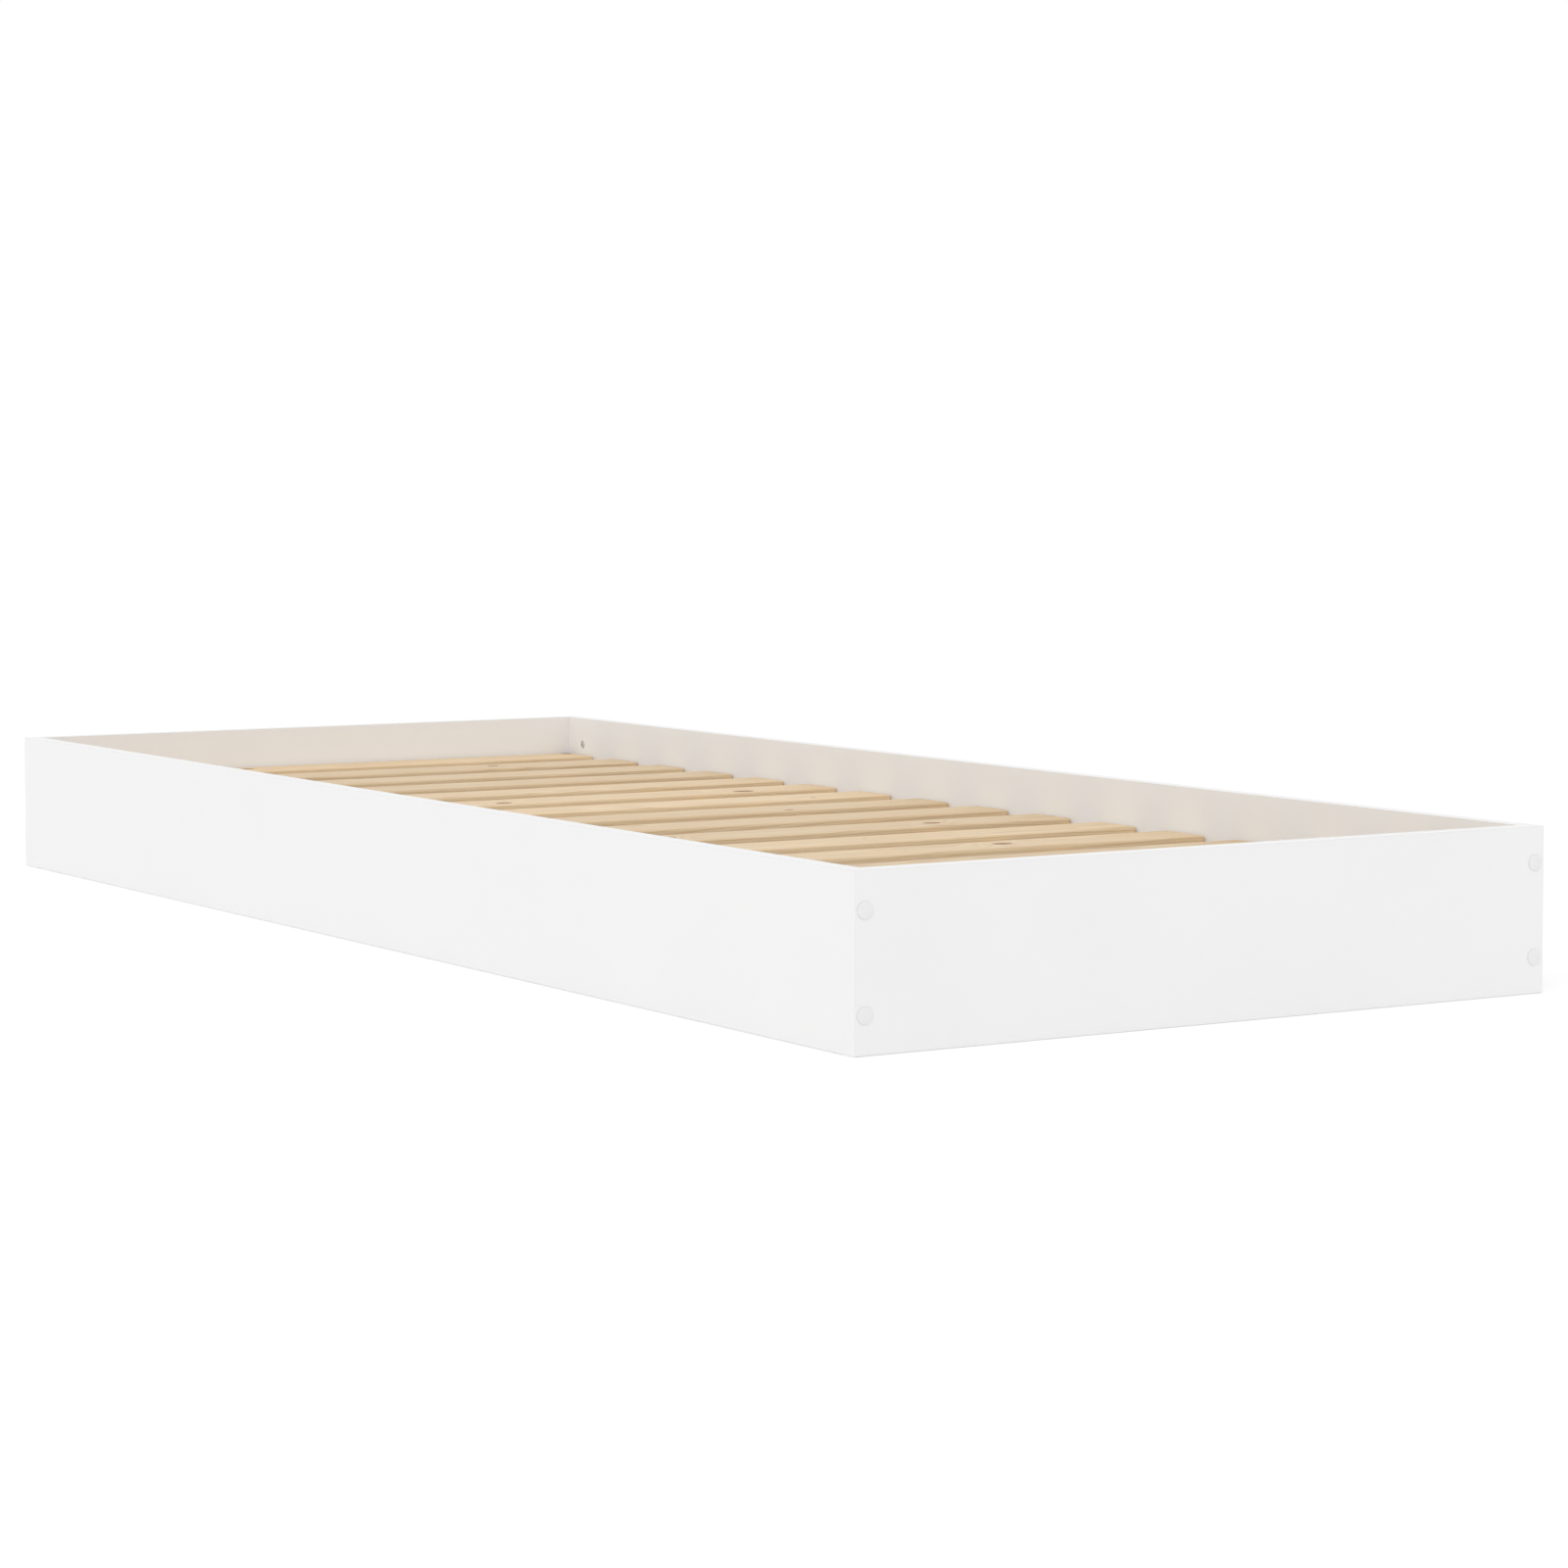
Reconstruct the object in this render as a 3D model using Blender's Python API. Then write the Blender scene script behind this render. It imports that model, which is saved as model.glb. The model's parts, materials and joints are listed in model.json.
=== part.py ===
"""Low storage bed frame: four white boards on edge make a box that stands on the floor.

Two slatted panels lie inside it on ledges along its long sides. They lift out,
and the closed space under them is the storage. Metres, +Z up. The origin is on
the floor under the middle of the bed, the head is at +Y and the left side at -X.
"""

import math

import bmesh
import bpy
from mathutils import Matrix, Vector

# Mattress that the frame is made for, and how it sits
MATTRESS_WIDTH = 0.800
MATTRESS_LENGTH = 2.000
MATTRESS_PLAY = 0.004
MATTRESS_SINK = 0.052

# White boards of the box
FRAME_HEIGHT = 0.172
BOARD_THICKNESS = 0.018
BOARD_EDGE_RADIUS = 0.0006

# Clearances
SEAT_GAP = 0.0003
SLAT_SIDE_PLAY = 0.002
PANEL_END_PLAY = 0.003
PANEL_MIDDLE_PLAY = 0.003
CUT_OVERRUN = 0.002

# Corner fittings: a bolt through the end board into a barrel nut in the side board
BOLT_EDGE_DISTANCE = 0.0375
BOLT_RADIUS = 0.003
BOLT_PAST_NUT = 0.004
BOLT_HOLE_PLAY = 0.0005
BOLT_TIP_ROOM = 0.003
BOLT_HEAD_RADIUS = 0.0072
BOLT_HEAD_THICKNESS = 0.0026
BOLT_CHAMFER = 0.0006
SOCKET_APOTHEM = 0.002
SOCKET_DEPTH = 0.0016
COUNTERBORE_PLAY = 0.0005
NUT_RADIUS = 0.005
NUT_LENGTH = 0.012
NUT_SETBACK = 0.040
NUT_CHAMFER = 0.0005
NUT_SLOT_WIDTH = 0.0012
NUT_SLOT_DEPTH = 0.0012
NUT_HOLE_FLOOR_ROOM = 0.0005
DOWEL_RADIUS = 0.004
DOWEL_LENGTH = 0.030
DOWEL_IN_END_BOARD = 0.011
DOWEL_CHAMFER = 0.0008
DOWEL_HOLE_ROOM = 0.0005

# Cover cap over each bolt head
CAP_LIP = 0.0007
CAP_RIM_HEIGHT = 0.0006
CAP_DOME_HEIGHT = 0.0005
CAP_STEM_LENGTH = 0.0024
CAP_STEM_WALL = 0.0012
CAP_STEM_CHAMFER = 0.0004
CAP_STEM_ROOM = 0.0007

# Pine ledges along the side boards
LEDGE_THICKNESS = 0.020
LEDGE_HEIGHT = 0.040
LEDGE_END_PLAY = 0.002
LEDGE_SCREW_END_DISTANCE = 0.060
LEDGE_SCREWS = 7

# Slatted panels
SLATS_PER_PANEL = 8
SLAT_WIDTH = 0.070
SLAT_THICKNESS = 0.015
SLAT_EDGE_RADIUS = 0.003
CLEAT_WIDTH = 0.030
CLEAT_HEIGHT = 0.025
CLEAT_OFFSET = 0.200

# Pine edges and screw recesses
PINE_EDGE_RADIUS = 0.002
SCREW_HEAD_RADIUS = 0.004
SCREW_PILOT_RADIUS = 0.002
SCREW_RECESS_DEPTH = 0.0024
SCREW_PILOT_DEPTH = 0.006

# Facets, and the angle in degrees past which an edge stays sharp
FINE_SIDES = 20
PLAIN_SIDES = 12
BOARD_SEGMENTS = 2
SLAT_SEGMENTS = 2
DOME_STEPS = 2
SHARP_ANGLE = 40

# Places that follow from the sizes above
FRAME_WIDTH = MATTRESS_WIDTH + MATTRESS_PLAY + 2 * BOARD_THICKNESS
FRAME_LENGTH = MATTRESS_LENGTH + MATTRESS_PLAY + 2 * BOARD_THICKNESS
INNER_X = FRAME_WIDTH / 2 - BOARD_THICKNESS
INNER_Y = FRAME_LENGTH / 2 - BOARD_THICKNESS
SIDE_BOARD_END = INNER_Y - SEAT_GAP
SLAT_TOP = FRAME_HEIGHT - MATTRESS_SINK
SLAT_BOTTOM = SLAT_TOP - SLAT_THICKNESS
SUPPORT_TOP = SLAT_BOTTOM - SEAT_GAP
BOLT_INSET = BOARD_THICKNESS - NUT_LENGTH / 2
BOLT_ROWS = {"low": BOLT_EDGE_DISTANCE, "high": FRAME_HEIGHT - BOLT_EDGE_DISTANCE}
BOLT_HOLE_RADIUS = BOLT_RADIUS + BOLT_HOLE_PLAY
COUNTERBORE_DEPTH = BOLT_HEAD_THICKNESS + SEAT_GAP + CAP_STEM_ROOM + CAP_STEM_LENGTH
BOLT_SHANK = BOARD_THICKNESS - COUNTERBORE_DEPTH + NUT_SETBACK + NUT_RADIUS + BOLT_PAST_NUT
COUNTERBORE_RADIUS = BOLT_HEAD_RADIUS + COUNTERBORE_PLAY
CAP_RADIUS = COUNTERBORE_RADIUS + CAP_LIP
DOWEL_INSET = BOARD_THICKNESS / 2
DOWEL_HOLE_RADIUS = DOWEL_RADIUS + SEAT_GAP

ENDS = {"foot": -1, "head": 1}
SIDES = {"left": -1, "right": 1}
ROUND = "round"
HEXAGON = "hexagon"
UP = Vector((0, 0, 1))
TO_RIGHT = Vector((1, 0, 0))
TO_HEAD = Vector((0, 1, 0))


def clear_scene():
    """Removes whatever the opened file holds."""
    for thing in list(bpy.data.objects):
        bpy.data.objects.remove(thing)


def make_material(name, colour, roughness, metallic=0.0):
    """One Principled BSDF with a plain colour."""
    made = bpy.data.materials.new(name)
    made.use_nodes = True
    shader = made.node_tree.nodes["Principled BSDF"]
    shader.inputs["Base Color"].default_value = (*colour, 1.0)
    shader.inputs["Roughness"].default_value = roughness
    shader.inputs["Metallic"].default_value = metallic
    return made


def box_shape(size, radius=0.0, segments=BOARD_SEGMENTS):
    """A box centred on its own origin, its edges rounded where a radius is given."""
    shape = bmesh.new()
    bmesh.ops.create_cube(shape, size=1.0)
    bmesh.ops.scale(shape, vec=Vector(size), verts=shape.verts)
    if radius:
        bmesh.ops.bevel(
            shape, geom=shape.edges[:], offset=radius, segments=segments,
            profile=0.5, affect="EDGES",
        )
    return shape


def ring_radius(size, outline, angle):
    """Distance from the axis at one angle, on a circle or on a hexagon of that apothem."""
    if outline == ROUND:
        return size
    sixth = math.pi / 3
    return size / math.cos(angle % sixth - sixth / 2)


def add_turned(shape, profile, sides, place=None):
    """Adds a closed turned body along +Z. Each profile point is (height, radius or apothem, outline)."""
    place = place or Matrix.Identity(4)
    rings = []
    for height, size, outline in profile:
        ring = []
        for step in range(sides):
            angle = 2 * math.pi * step / sides
            radius = ring_radius(size, outline, angle)
            point = Vector((radius * math.cos(angle), radius * math.sin(angle), height))
            ring.append(shape.verts.new(place @ point))
        rings.append(ring)
    faces = [shape.faces.new(rings[0]), shape.faces.new(rings[-1])]
    for first, second in zip(rings, rings[1:]):
        for step in range(sides):
            after = (step + 1) % sides
            faces.append(shape.faces.new((first[step], first[after], second[after], second[step])))
    bmesh.ops.recalc_face_normals(shape, faces=faces)


def facing(start, direction):
    """Matrix that stands a turned body at start with its +Z along direction."""
    return Matrix.Translation(start) @ direction.to_track_quat("Z", "Y").to_matrix().to_4x4()


def add_hole(shape, start, direction, radius, depth, sides=PLAIN_SIDES):
    """Adds a drill to a cutter: it starts an overrun before the face and stops at depth."""
    profile = [(-CUT_OVERRUN, radius, ROUND), (depth, radius, ROUND)]
    add_turned(shape, profile, sides, facing(start, direction))


def add_screw_recess(shape, start, direction):
    """Adds a countersink with its short pilot hole to a cutter."""
    flare = (SCREW_HEAD_RADIUS - SCREW_PILOT_RADIUS) / SCREW_RECESS_DEPTH
    profile = [
        (-CUT_OVERRUN, SCREW_HEAD_RADIUS + flare * CUT_OVERRUN, ROUND),
        (SCREW_RECESS_DEPTH, SCREW_PILOT_RADIUS, ROUND),
        (SCREW_PILOT_DEPTH, SCREW_PILOT_RADIUS, ROUND),
    ]
    add_turned(shape, profile, PLAIN_SIDES, facing(start, direction))


def mesh_of(name, shape):
    """Turns a bmesh into a mesh and frees it."""
    mesh = bpy.data.meshes.new(name)
    shape.to_mesh(mesh)
    shape.free()
    return mesh


def cut_mesh(name, shape, cutters):
    """The mesh that is left when each cutter has been taken out of a shape in turn."""
    blank = bpy.data.objects.new(name + "_blank", mesh_of(name + "_blank", shape))
    bpy.context.scene.collection.objects.link(blank)
    tools = []
    for number, cutter in enumerate(cutters):
        tool = bpy.data.objects.new(f"{name}_cutter_{number}", mesh_of(name + "_cutter", cutter))
        tool.hide_render = True
        tool.display_type = "WIRE"
        bpy.context.scene.collection.objects.link(tool)
        cut = blank.modifiers.new("cut", "BOOLEAN")
        cut.operation = "DIFFERENCE"
        cut.solver = "EXACT"
        cut.object = tool
        tools.append(tool)
    bpy.context.view_layer.update()
    graph = bpy.context.evaluated_depsgraph_get()
    mesh = bpy.data.meshes.new_from_object(blank.evaluated_get(graph))
    mesh.name = name
    for used in [blank, *tools]:
        bpy.data.objects.remove(used)
    return mesh


def smooth_sides(mesh):
    """Shades round walls smooth and keeps their corners sharp."""
    mesh.shade_smooth()
    mesh.set_sharp_from_angle(angle=math.radians(SHARP_ANGLE))


def add_piece(name, mesh, material, location, turn=None, parent=None):
    """Places one named piece. Its location is given in the frame's own axes."""
    piece = bpy.data.objects.new(name, mesh)
    bpy.context.scene.collection.objects.link(piece)
    if not mesh.materials:
        mesh.materials.append(material)
    piece.location = Vector(location)
    if turn is not None:
        piece.rotation_euler = turn
    if parent is not None:
        piece.parent = parent
        piece.location -= parent.location
    return piece


def pointing(direction):
    """Rotation that turns a piece's +Z to a direction."""
    return direction.to_track_quat("Z", "Y").to_euler()


def side_board_mesh():
    """Side board seen as the left one: bolt and dowel holes in its ends, nut holes inside."""
    shape = box_shape((BOARD_THICKNESS, 2 * SIDE_BOARD_END, FRAME_HEIGHT), BOARD_EDGE_RADIUS)
    bolt_holes = bmesh.new()
    nut_holes = bmesh.new()
    face_x = BOARD_THICKNESS / 2
    bolt_depth = (
        BOLT_SHANK - (BOARD_THICKNESS - COUNTERBORE_DEPTH) - SEAT_GAP + BOLT_TIP_ROOM
    )
    dowel_depth = DOWEL_LENGTH - DOWEL_IN_END_BOARD + DOWEL_HOLE_ROOM
    nut_depth = NUT_LENGTH + NUT_HOLE_FLOOR_ROOM
    for end in ENDS.values():
        inward = TO_HEAD * -end
        for height in BOLT_ROWS.values():
            z = height - FRAME_HEIGHT / 2
            start = Vector((BOLT_INSET - face_x, end * SIDE_BOARD_END, z))
            add_hole(bolt_holes, start, inward, BOLT_HOLE_RADIUS, bolt_depth)
            nut_y = end * (SIDE_BOARD_END - NUT_SETBACK)
            start = Vector((face_x, nut_y, z))
            add_hole(nut_holes, start, -TO_RIGHT, NUT_RADIUS + SEAT_GAP, nut_depth)
        start = Vector((DOWEL_INSET - face_x, end * SIDE_BOARD_END, 0))
        add_hole(bolt_holes, start, inward, DOWEL_HOLE_RADIUS, dowel_depth)
    return cut_mesh("side_board", shape, [bolt_holes, nut_holes])


def end_board_mesh():
    """End board seen as the head one: counterbored bolt holes and blind dowel holes."""
    shape = box_shape((FRAME_WIDTH, BOARD_THICKNESS, FRAME_HEIGHT), BOARD_EDGE_RADIUS)
    cutter = bmesh.new()
    face_y = BOARD_THICKNESS / 2
    profile = [
        (-CUT_OVERRUN, COUNTERBORE_RADIUS, ROUND),
        (COUNTERBORE_DEPTH, COUNTERBORE_RADIUS, ROUND),
        (COUNTERBORE_DEPTH, BOLT_HOLE_RADIUS, ROUND),
        (BOARD_THICKNESS + CUT_OVERRUN, BOLT_HOLE_RADIUS, ROUND),
    ]
    for side in SIDES.values():
        for height in BOLT_ROWS.values():
            x = side * (FRAME_WIDTH / 2 - BOLT_INSET)
            start = Vector((x, face_y, height - FRAME_HEIGHT / 2))
            add_turned(cutter, profile, FINE_SIDES, facing(start, -TO_HEAD))
        start = Vector((side * (FRAME_WIDTH / 2 - DOWEL_INSET), -face_y, 0))
        add_hole(cutter, start, TO_HEAD, DOWEL_HOLE_RADIUS, DOWEL_IN_END_BOARD + DOWEL_HOLE_ROOM)
    return cut_mesh("end_board", shape, [cutter])


def bolt_mesh():
    """Flat-head connector bolt. Its +Z runs from the outer face of the head to the tip."""
    shape = bmesh.new()
    tip = BOLT_HEAD_THICKNESS + BOLT_SHANK
    profile = [
        (SOCKET_DEPTH, SOCKET_APOTHEM, HEXAGON),
        (0, SOCKET_APOTHEM, HEXAGON),
        (0, BOLT_HEAD_RADIUS - BOLT_CHAMFER, ROUND),
        (BOLT_CHAMFER, BOLT_HEAD_RADIUS, ROUND),
        (BOLT_HEAD_THICKNESS, BOLT_HEAD_RADIUS, ROUND),
        (BOLT_HEAD_THICKNESS, BOLT_RADIUS, ROUND),
        (tip - BOLT_CHAMFER, BOLT_RADIUS, ROUND),
        (tip, BOLT_RADIUS - BOLT_CHAMFER, ROUND),
    ]
    add_turned(shape, profile, FINE_SIDES)
    mesh = mesh_of("bolt", shape)
    smooth_sides(mesh)
    return mesh


def barrel_nut_mesh():
    """Barrel nut. Its +Z runs from the slotted face into the board; the bolt crosses along X."""
    shape = bmesh.new()
    profile = [
        (0, NUT_RADIUS - NUT_CHAMFER, ROUND),
        (NUT_CHAMFER, NUT_RADIUS, ROUND),
        (NUT_LENGTH - NUT_CHAMFER, NUT_RADIUS, ROUND),
        (NUT_LENGTH, NUT_RADIUS - NUT_CHAMFER, ROUND),
    ]
    add_turned(shape, profile, FINE_SIDES)
    thread = bmesh.new()
    start = Vector((-NUT_RADIUS, 0, NUT_LENGTH / 2))
    depth = 2 * NUT_RADIUS + CUT_OVERRUN
    add_hole(thread, start, TO_RIGHT, BOLT_RADIUS + SEAT_GAP, depth)
    slot = box_shape((2 * NUT_RADIUS + CUT_OVERRUN, NUT_SLOT_WIDTH, 2 * NUT_SLOT_DEPTH))
    mesh = cut_mesh("barrel_nut", shape, [thread, slot])
    smooth_sides(mesh)
    return mesh


def cover_cap_mesh():
    """Cover cap. Its +Z points out of the board, from the board's face."""
    stem_radius = COUNTERBORE_RADIUS - SEAT_GAP
    stem_inside = stem_radius - CAP_STEM_WALL
    rim_top = SEAT_GAP + CAP_RIM_HEIGHT
    profile = [
        (SEAT_GAP, stem_inside, ROUND),
        (-CAP_STEM_LENGTH, stem_inside, ROUND),
        (-CAP_STEM_LENGTH, stem_radius - CAP_STEM_CHAMFER, ROUND),
        (CAP_STEM_CHAMFER - CAP_STEM_LENGTH, stem_radius, ROUND),
        (SEAT_GAP, stem_radius, ROUND),
        (SEAT_GAP, CAP_RADIUS, ROUND),
        (rim_top, CAP_RADIUS, ROUND),
    ]
    for step in range(1, DOME_STEPS + 1):
        share = step / (DOME_STEPS + 1)
        height = rim_top + CAP_DOME_HEIGHT * math.sin(share * math.pi / 2)
        profile.append((height, CAP_RADIUS * math.cos(share * math.pi / 2), ROUND))
    shape = bmesh.new()
    add_turned(shape, profile, FINE_SIDES)
    mesh = mesh_of("cover_cap", shape)
    smooth_sides(mesh)
    return mesh


def dowel_mesh():
    """Wooden dowel with chamfered ends. Its +Z runs from the end board into the side board."""
    shape = bmesh.new()
    profile = [
        (0, DOWEL_RADIUS - DOWEL_CHAMFER, ROUND),
        (DOWEL_CHAMFER, DOWEL_RADIUS, ROUND),
        (DOWEL_LENGTH - DOWEL_CHAMFER, DOWEL_RADIUS, ROUND),
        (DOWEL_LENGTH, DOWEL_RADIUS - DOWEL_CHAMFER, ROUND),
    ]
    add_turned(shape, profile, PLAIN_SIDES)
    mesh = mesh_of("dowel", shape)
    smooth_sides(mesh)
    return mesh


def ledge_mesh():
    """Ledge seen as the left one, with a row of screw recesses in its inner face."""
    half_length = SIDE_BOARD_END - LEDGE_END_PLAY
    shape = box_shape((LEDGE_THICKNESS, 2 * half_length, LEDGE_HEIGHT), PINE_EDGE_RADIUS)
    cutter = bmesh.new()
    reach = half_length - LEDGE_SCREW_END_DISTANCE
    for number in range(LEDGE_SCREWS):
        share = 2 * number / (LEDGE_SCREWS - 1) - 1
        add_screw_recess(cutter, Vector((LEDGE_THICKNESS / 2, share * reach, 0)), -TO_RIGHT)
    return cut_mesh("ledge", shape, [cutter])


def slat_mesh():
    """Slat with a screw recess over each of its two cleats."""
    length = 2 * (INNER_X - SLAT_SIDE_PLAY)
    shape = box_shape((length, SLAT_WIDTH, SLAT_THICKNESS), SLAT_EDGE_RADIUS, SLAT_SEGMENTS)
    cutter = bmesh.new()
    for side in SIDES.values():
        add_screw_recess(cutter, Vector((side * CLEAT_OFFSET, 0, SLAT_THICKNESS / 2)), -UP)
    return cut_mesh("slat", shape, [cutter])


def add_boards(white):
    """The four boards of the box."""
    side_mesh = side_board_mesh()
    end_mesh = end_board_mesh()
    middle_z = FRAME_HEIGHT / 2
    for name, side in SIDES.items():
        x = side * (FRAME_WIDTH / 2 - BOARD_THICKNESS / 2)
        turn = (0, 0, 0 if side < 0 else math.pi)
        add_piece(f"side_board_{name}", side_mesh, white, (x, 0, middle_z), turn)
    for name, end in ENDS.items():
        y = end * (FRAME_LENGTH / 2 - BOARD_THICKNESS / 2)
        turn = (0, 0, 0 if end > 0 else math.pi)
        add_piece(f"{name}_board", end_mesh, white, (0, y, middle_z), turn)


def add_corner_fittings(steel, zinc, plastic, beech):
    """Bolts, barrel nuts, cover caps and dowels of the four corners."""
    bolt = bolt_mesh()
    nut = barrel_nut_mesh()
    cap = cover_cap_mesh()
    dowel = dowel_mesh()
    outer_y = FRAME_LENGTH / 2
    head_y = outer_y - (COUNTERBORE_DEPTH - SEAT_GAP - BOLT_HEAD_THICKNESS)
    for end_name, end in ENDS.items():
        outward = TO_HEAD * end
        for side_name, side in SIDES.items():
            x = side * (FRAME_WIDTH / 2 - BOLT_INSET)
            corner = f"{end_name}_{side_name}"
            nut_y = end * (SIDE_BOARD_END - NUT_SETBACK)
            for row, z in BOLT_ROWS.items():
                label = f"{corner}_{row}"
                add_piece(f"bolt_{label}", bolt, steel, (x, end * head_y, z), pointing(-outward))
                turn = pointing(TO_RIGHT * side)
                add_piece(f"barrel_nut_{label}", nut, zinc, (side * INNER_X, nut_y, z), turn)
                add_piece(f"cover_cap_{label}", cap, plastic, (x, end * outer_y, z), pointing(outward))
            dowel_x = side * (FRAME_WIDTH / 2 - DOWEL_INSET)
            dowel_y = end * (INNER_Y + DOWEL_IN_END_BOARD)
            place = (dowel_x, dowel_y, FRAME_HEIGHT / 2)
            add_piece(f"dowel_{corner}", dowel, beech, place, pointing(-outward))


def add_ledges(pine):
    """The ledge along each side board."""
    ledge = ledge_mesh()
    for name, side in SIDES.items():
        x = side * (INNER_X - SEAT_GAP - LEDGE_THICKNESS / 2)
        turn = (0, 0, 0 if side < 0 else math.pi)
        add_piece(f"ledge_{name}", ledge, pine, (x, 0, SUPPORT_TOP - LEDGE_HEIGHT / 2), turn)


def add_panels(pine):
    """Two slatted panels. Each one hangs on an empty, because it lifts out as a whole."""
    slat = slat_mesh()
    panel_end = SIDE_BOARD_END - PANEL_END_PLAY
    panel_start = PANEL_MIDDLE_PLAY / 2
    cleat_length = panel_end - panel_start
    cleat_size = (CLEAT_WIDTH, cleat_length, CLEAT_HEIGHT)
    cleat = mesh_of("cleat", box_shape(cleat_size, PINE_EDGE_RADIUS))
    slat_count = 2 * SLATS_PER_PANEL
    pitch = (2 * panel_end - SLAT_WIDTH) / (slat_count - 1)
    slat_y = [(number - (slat_count - 1) / 2) * pitch for number in range(slat_count)]
    for name, end in ENDS.items():
        panel = bpy.data.objects.new(f"{name}_panel", None)
        bpy.context.scene.collection.objects.link(panel)
        middle_y = end * (panel_start + panel_end) / 2
        panel.location = (0, middle_y, SLAT_BOTTOM)
        for side_name, side in SIDES.items():
            place = (side * CLEAT_OFFSET, middle_y, SUPPORT_TOP - CLEAT_HEIGHT / 2)
            add_piece(f"cleat_{name}_{side_name}", cleat, pine, place, parent=panel)
        for number, y in enumerate(slat_y, start=1):
            if y * end > 0:
                place = (0, y, SLAT_BOTTOM + SLAT_THICKNESS / 2)
                add_piece(f"slat_{number:02d}", slat, pine, place, parent=panel)


def main():
    clear_scene()
    white = make_material("white_board", (0.88, 0.88, 0.88), 0.45)
    plastic = make_material("cap_plastic", (0.82, 0.82, 0.82), 0.4)
    pine = make_material("pine", (0.72, 0.55, 0.36), 0.6)
    beech = make_material("beech", (0.66, 0.48, 0.30), 0.6)
    steel = make_material("bolt_steel", (0.62, 0.62, 0.64), 0.3, 1.0)
    zinc = make_material("zinc_plate", (0.68, 0.69, 0.71), 0.35, 1.0)
    add_boards(white)
    add_corner_fittings(steel, zinc, plastic, beech)
    add_ledges(pine)
    add_panels(pine)


main()
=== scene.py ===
# %% [markdown]
# # A low white bed frame with a lift-out slatted base
#
# Four white boards stand on edge and make a box on the floor. Inside it, two loose slatted panels
# lie on ledges, and the closed space under them is for storage. Every piece already has its real
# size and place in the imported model. This lesson gives each piece its finish, and makes again, with
# finer edges, the pieces whose plain solids would look too coarse from close by.

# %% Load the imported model
import json
import math

import bmesh
import bpy
from mathutils import Matrix, Vector

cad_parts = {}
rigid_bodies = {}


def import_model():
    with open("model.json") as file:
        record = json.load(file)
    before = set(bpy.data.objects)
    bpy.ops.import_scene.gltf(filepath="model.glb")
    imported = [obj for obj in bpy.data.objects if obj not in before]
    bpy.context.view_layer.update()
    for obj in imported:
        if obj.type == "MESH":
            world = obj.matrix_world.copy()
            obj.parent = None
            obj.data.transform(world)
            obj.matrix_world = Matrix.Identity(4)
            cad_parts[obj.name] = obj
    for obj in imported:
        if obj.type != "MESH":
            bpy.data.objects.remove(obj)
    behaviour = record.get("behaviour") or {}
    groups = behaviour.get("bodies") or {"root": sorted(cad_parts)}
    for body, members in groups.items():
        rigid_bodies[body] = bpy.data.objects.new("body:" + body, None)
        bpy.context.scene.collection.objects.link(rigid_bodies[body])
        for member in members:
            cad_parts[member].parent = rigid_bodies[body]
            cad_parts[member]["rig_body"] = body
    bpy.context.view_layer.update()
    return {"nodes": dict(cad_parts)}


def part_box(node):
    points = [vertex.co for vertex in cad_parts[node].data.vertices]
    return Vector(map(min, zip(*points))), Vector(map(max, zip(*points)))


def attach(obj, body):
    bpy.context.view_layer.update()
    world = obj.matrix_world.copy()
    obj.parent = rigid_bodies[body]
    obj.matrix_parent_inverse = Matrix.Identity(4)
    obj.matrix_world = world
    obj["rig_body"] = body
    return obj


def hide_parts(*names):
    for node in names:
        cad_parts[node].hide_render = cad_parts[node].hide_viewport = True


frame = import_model()

# %% [markdown]
# ## The camera
#
# The photograph was taken with a long lens, from a low stand, over the foot end. Its place could be
# found by eye, but the box has straight edges, and where these run in the picture fixes the camera:
# how far it stands from the near corner, how high, how it is turned and tilted, and how long its
# lens is. Those values are written here. The picture is taken to be 1600 points square.

# %% Place the camera by the near corner of the box
PICTURE_SIDE = 1600
LENS_POINTS = 4133.8
LENS_AXIS_HEIGHT = 720
SENSOR_WIDTH = 36
CAMERA_TURN = 31.976
CAMERA_TILT = 3.572
CAMERA_HEIGHT = 0.5518
CORNER_DEPTH = 3.6768
CORNER_OFFSET = 0.0638

foot_low, foot_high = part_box("foot_board")
turn = math.radians(CAMERA_TURN)
ahead = Vector((math.sin(turn), math.cos(turn), 0))
to_right = Vector((math.cos(turn), -math.sin(turn), 0))
near_corner = Vector((foot_low.x, foot_low.y, 0))

camera = bpy.data.objects.new("camera", bpy.data.cameras.new("camera"))
bpy.context.scene.collection.objects.link(camera)
camera.location = near_corner - ahead * CORNER_DEPTH - to_right * CORNER_OFFSET
camera.location.z = CAMERA_HEIGHT
camera.rotation_euler = (math.radians(90 - CAMERA_TILT), 0, -turn)
camera.data.sensor_width = SENSOR_WIDTH
camera.data.lens = LENS_POINTS / PICTURE_SIDE * SENSOR_WIDTH
camera.data.shift_y = (LENS_AXIS_HEIGHT - PICTURE_SIDE / 2) / PICTURE_SIDE
bpy.context.scene.camera = camera
print("lens in millimetres:", round(camera.data.lens, 1))

# %% [markdown]
# ## Tools for finishes
#
# A finish is a small tree of nodes. Writing each node in one call, with its sockets set by name, keeps
# a finish short enough to read. A socket takes either a plain value or another node's output.


# %% Helpers for node trees
def add_node(tree, kind, sockets=None, **options):
    """Adds a node with its options, and sets its sockets to values or to other nodes' outputs."""
    made = tree.nodes.new(kind)
    for option, value in options.items():
        setattr(made, option, value)
    for key, value in (sockets or {}).items():
        if isinstance(value, bpy.types.NodeSocket):
            tree.links.new(value, made.inputs[key])
        else:
            made.inputs[key].default_value = value
    return made


def calculate(tree, operation, *numbers):
    """One sum on one, two or three numbers."""
    return add_node(tree, "ShaderNodeMath", dict(enumerate(numbers)), operation=operation).outputs[0]


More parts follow.
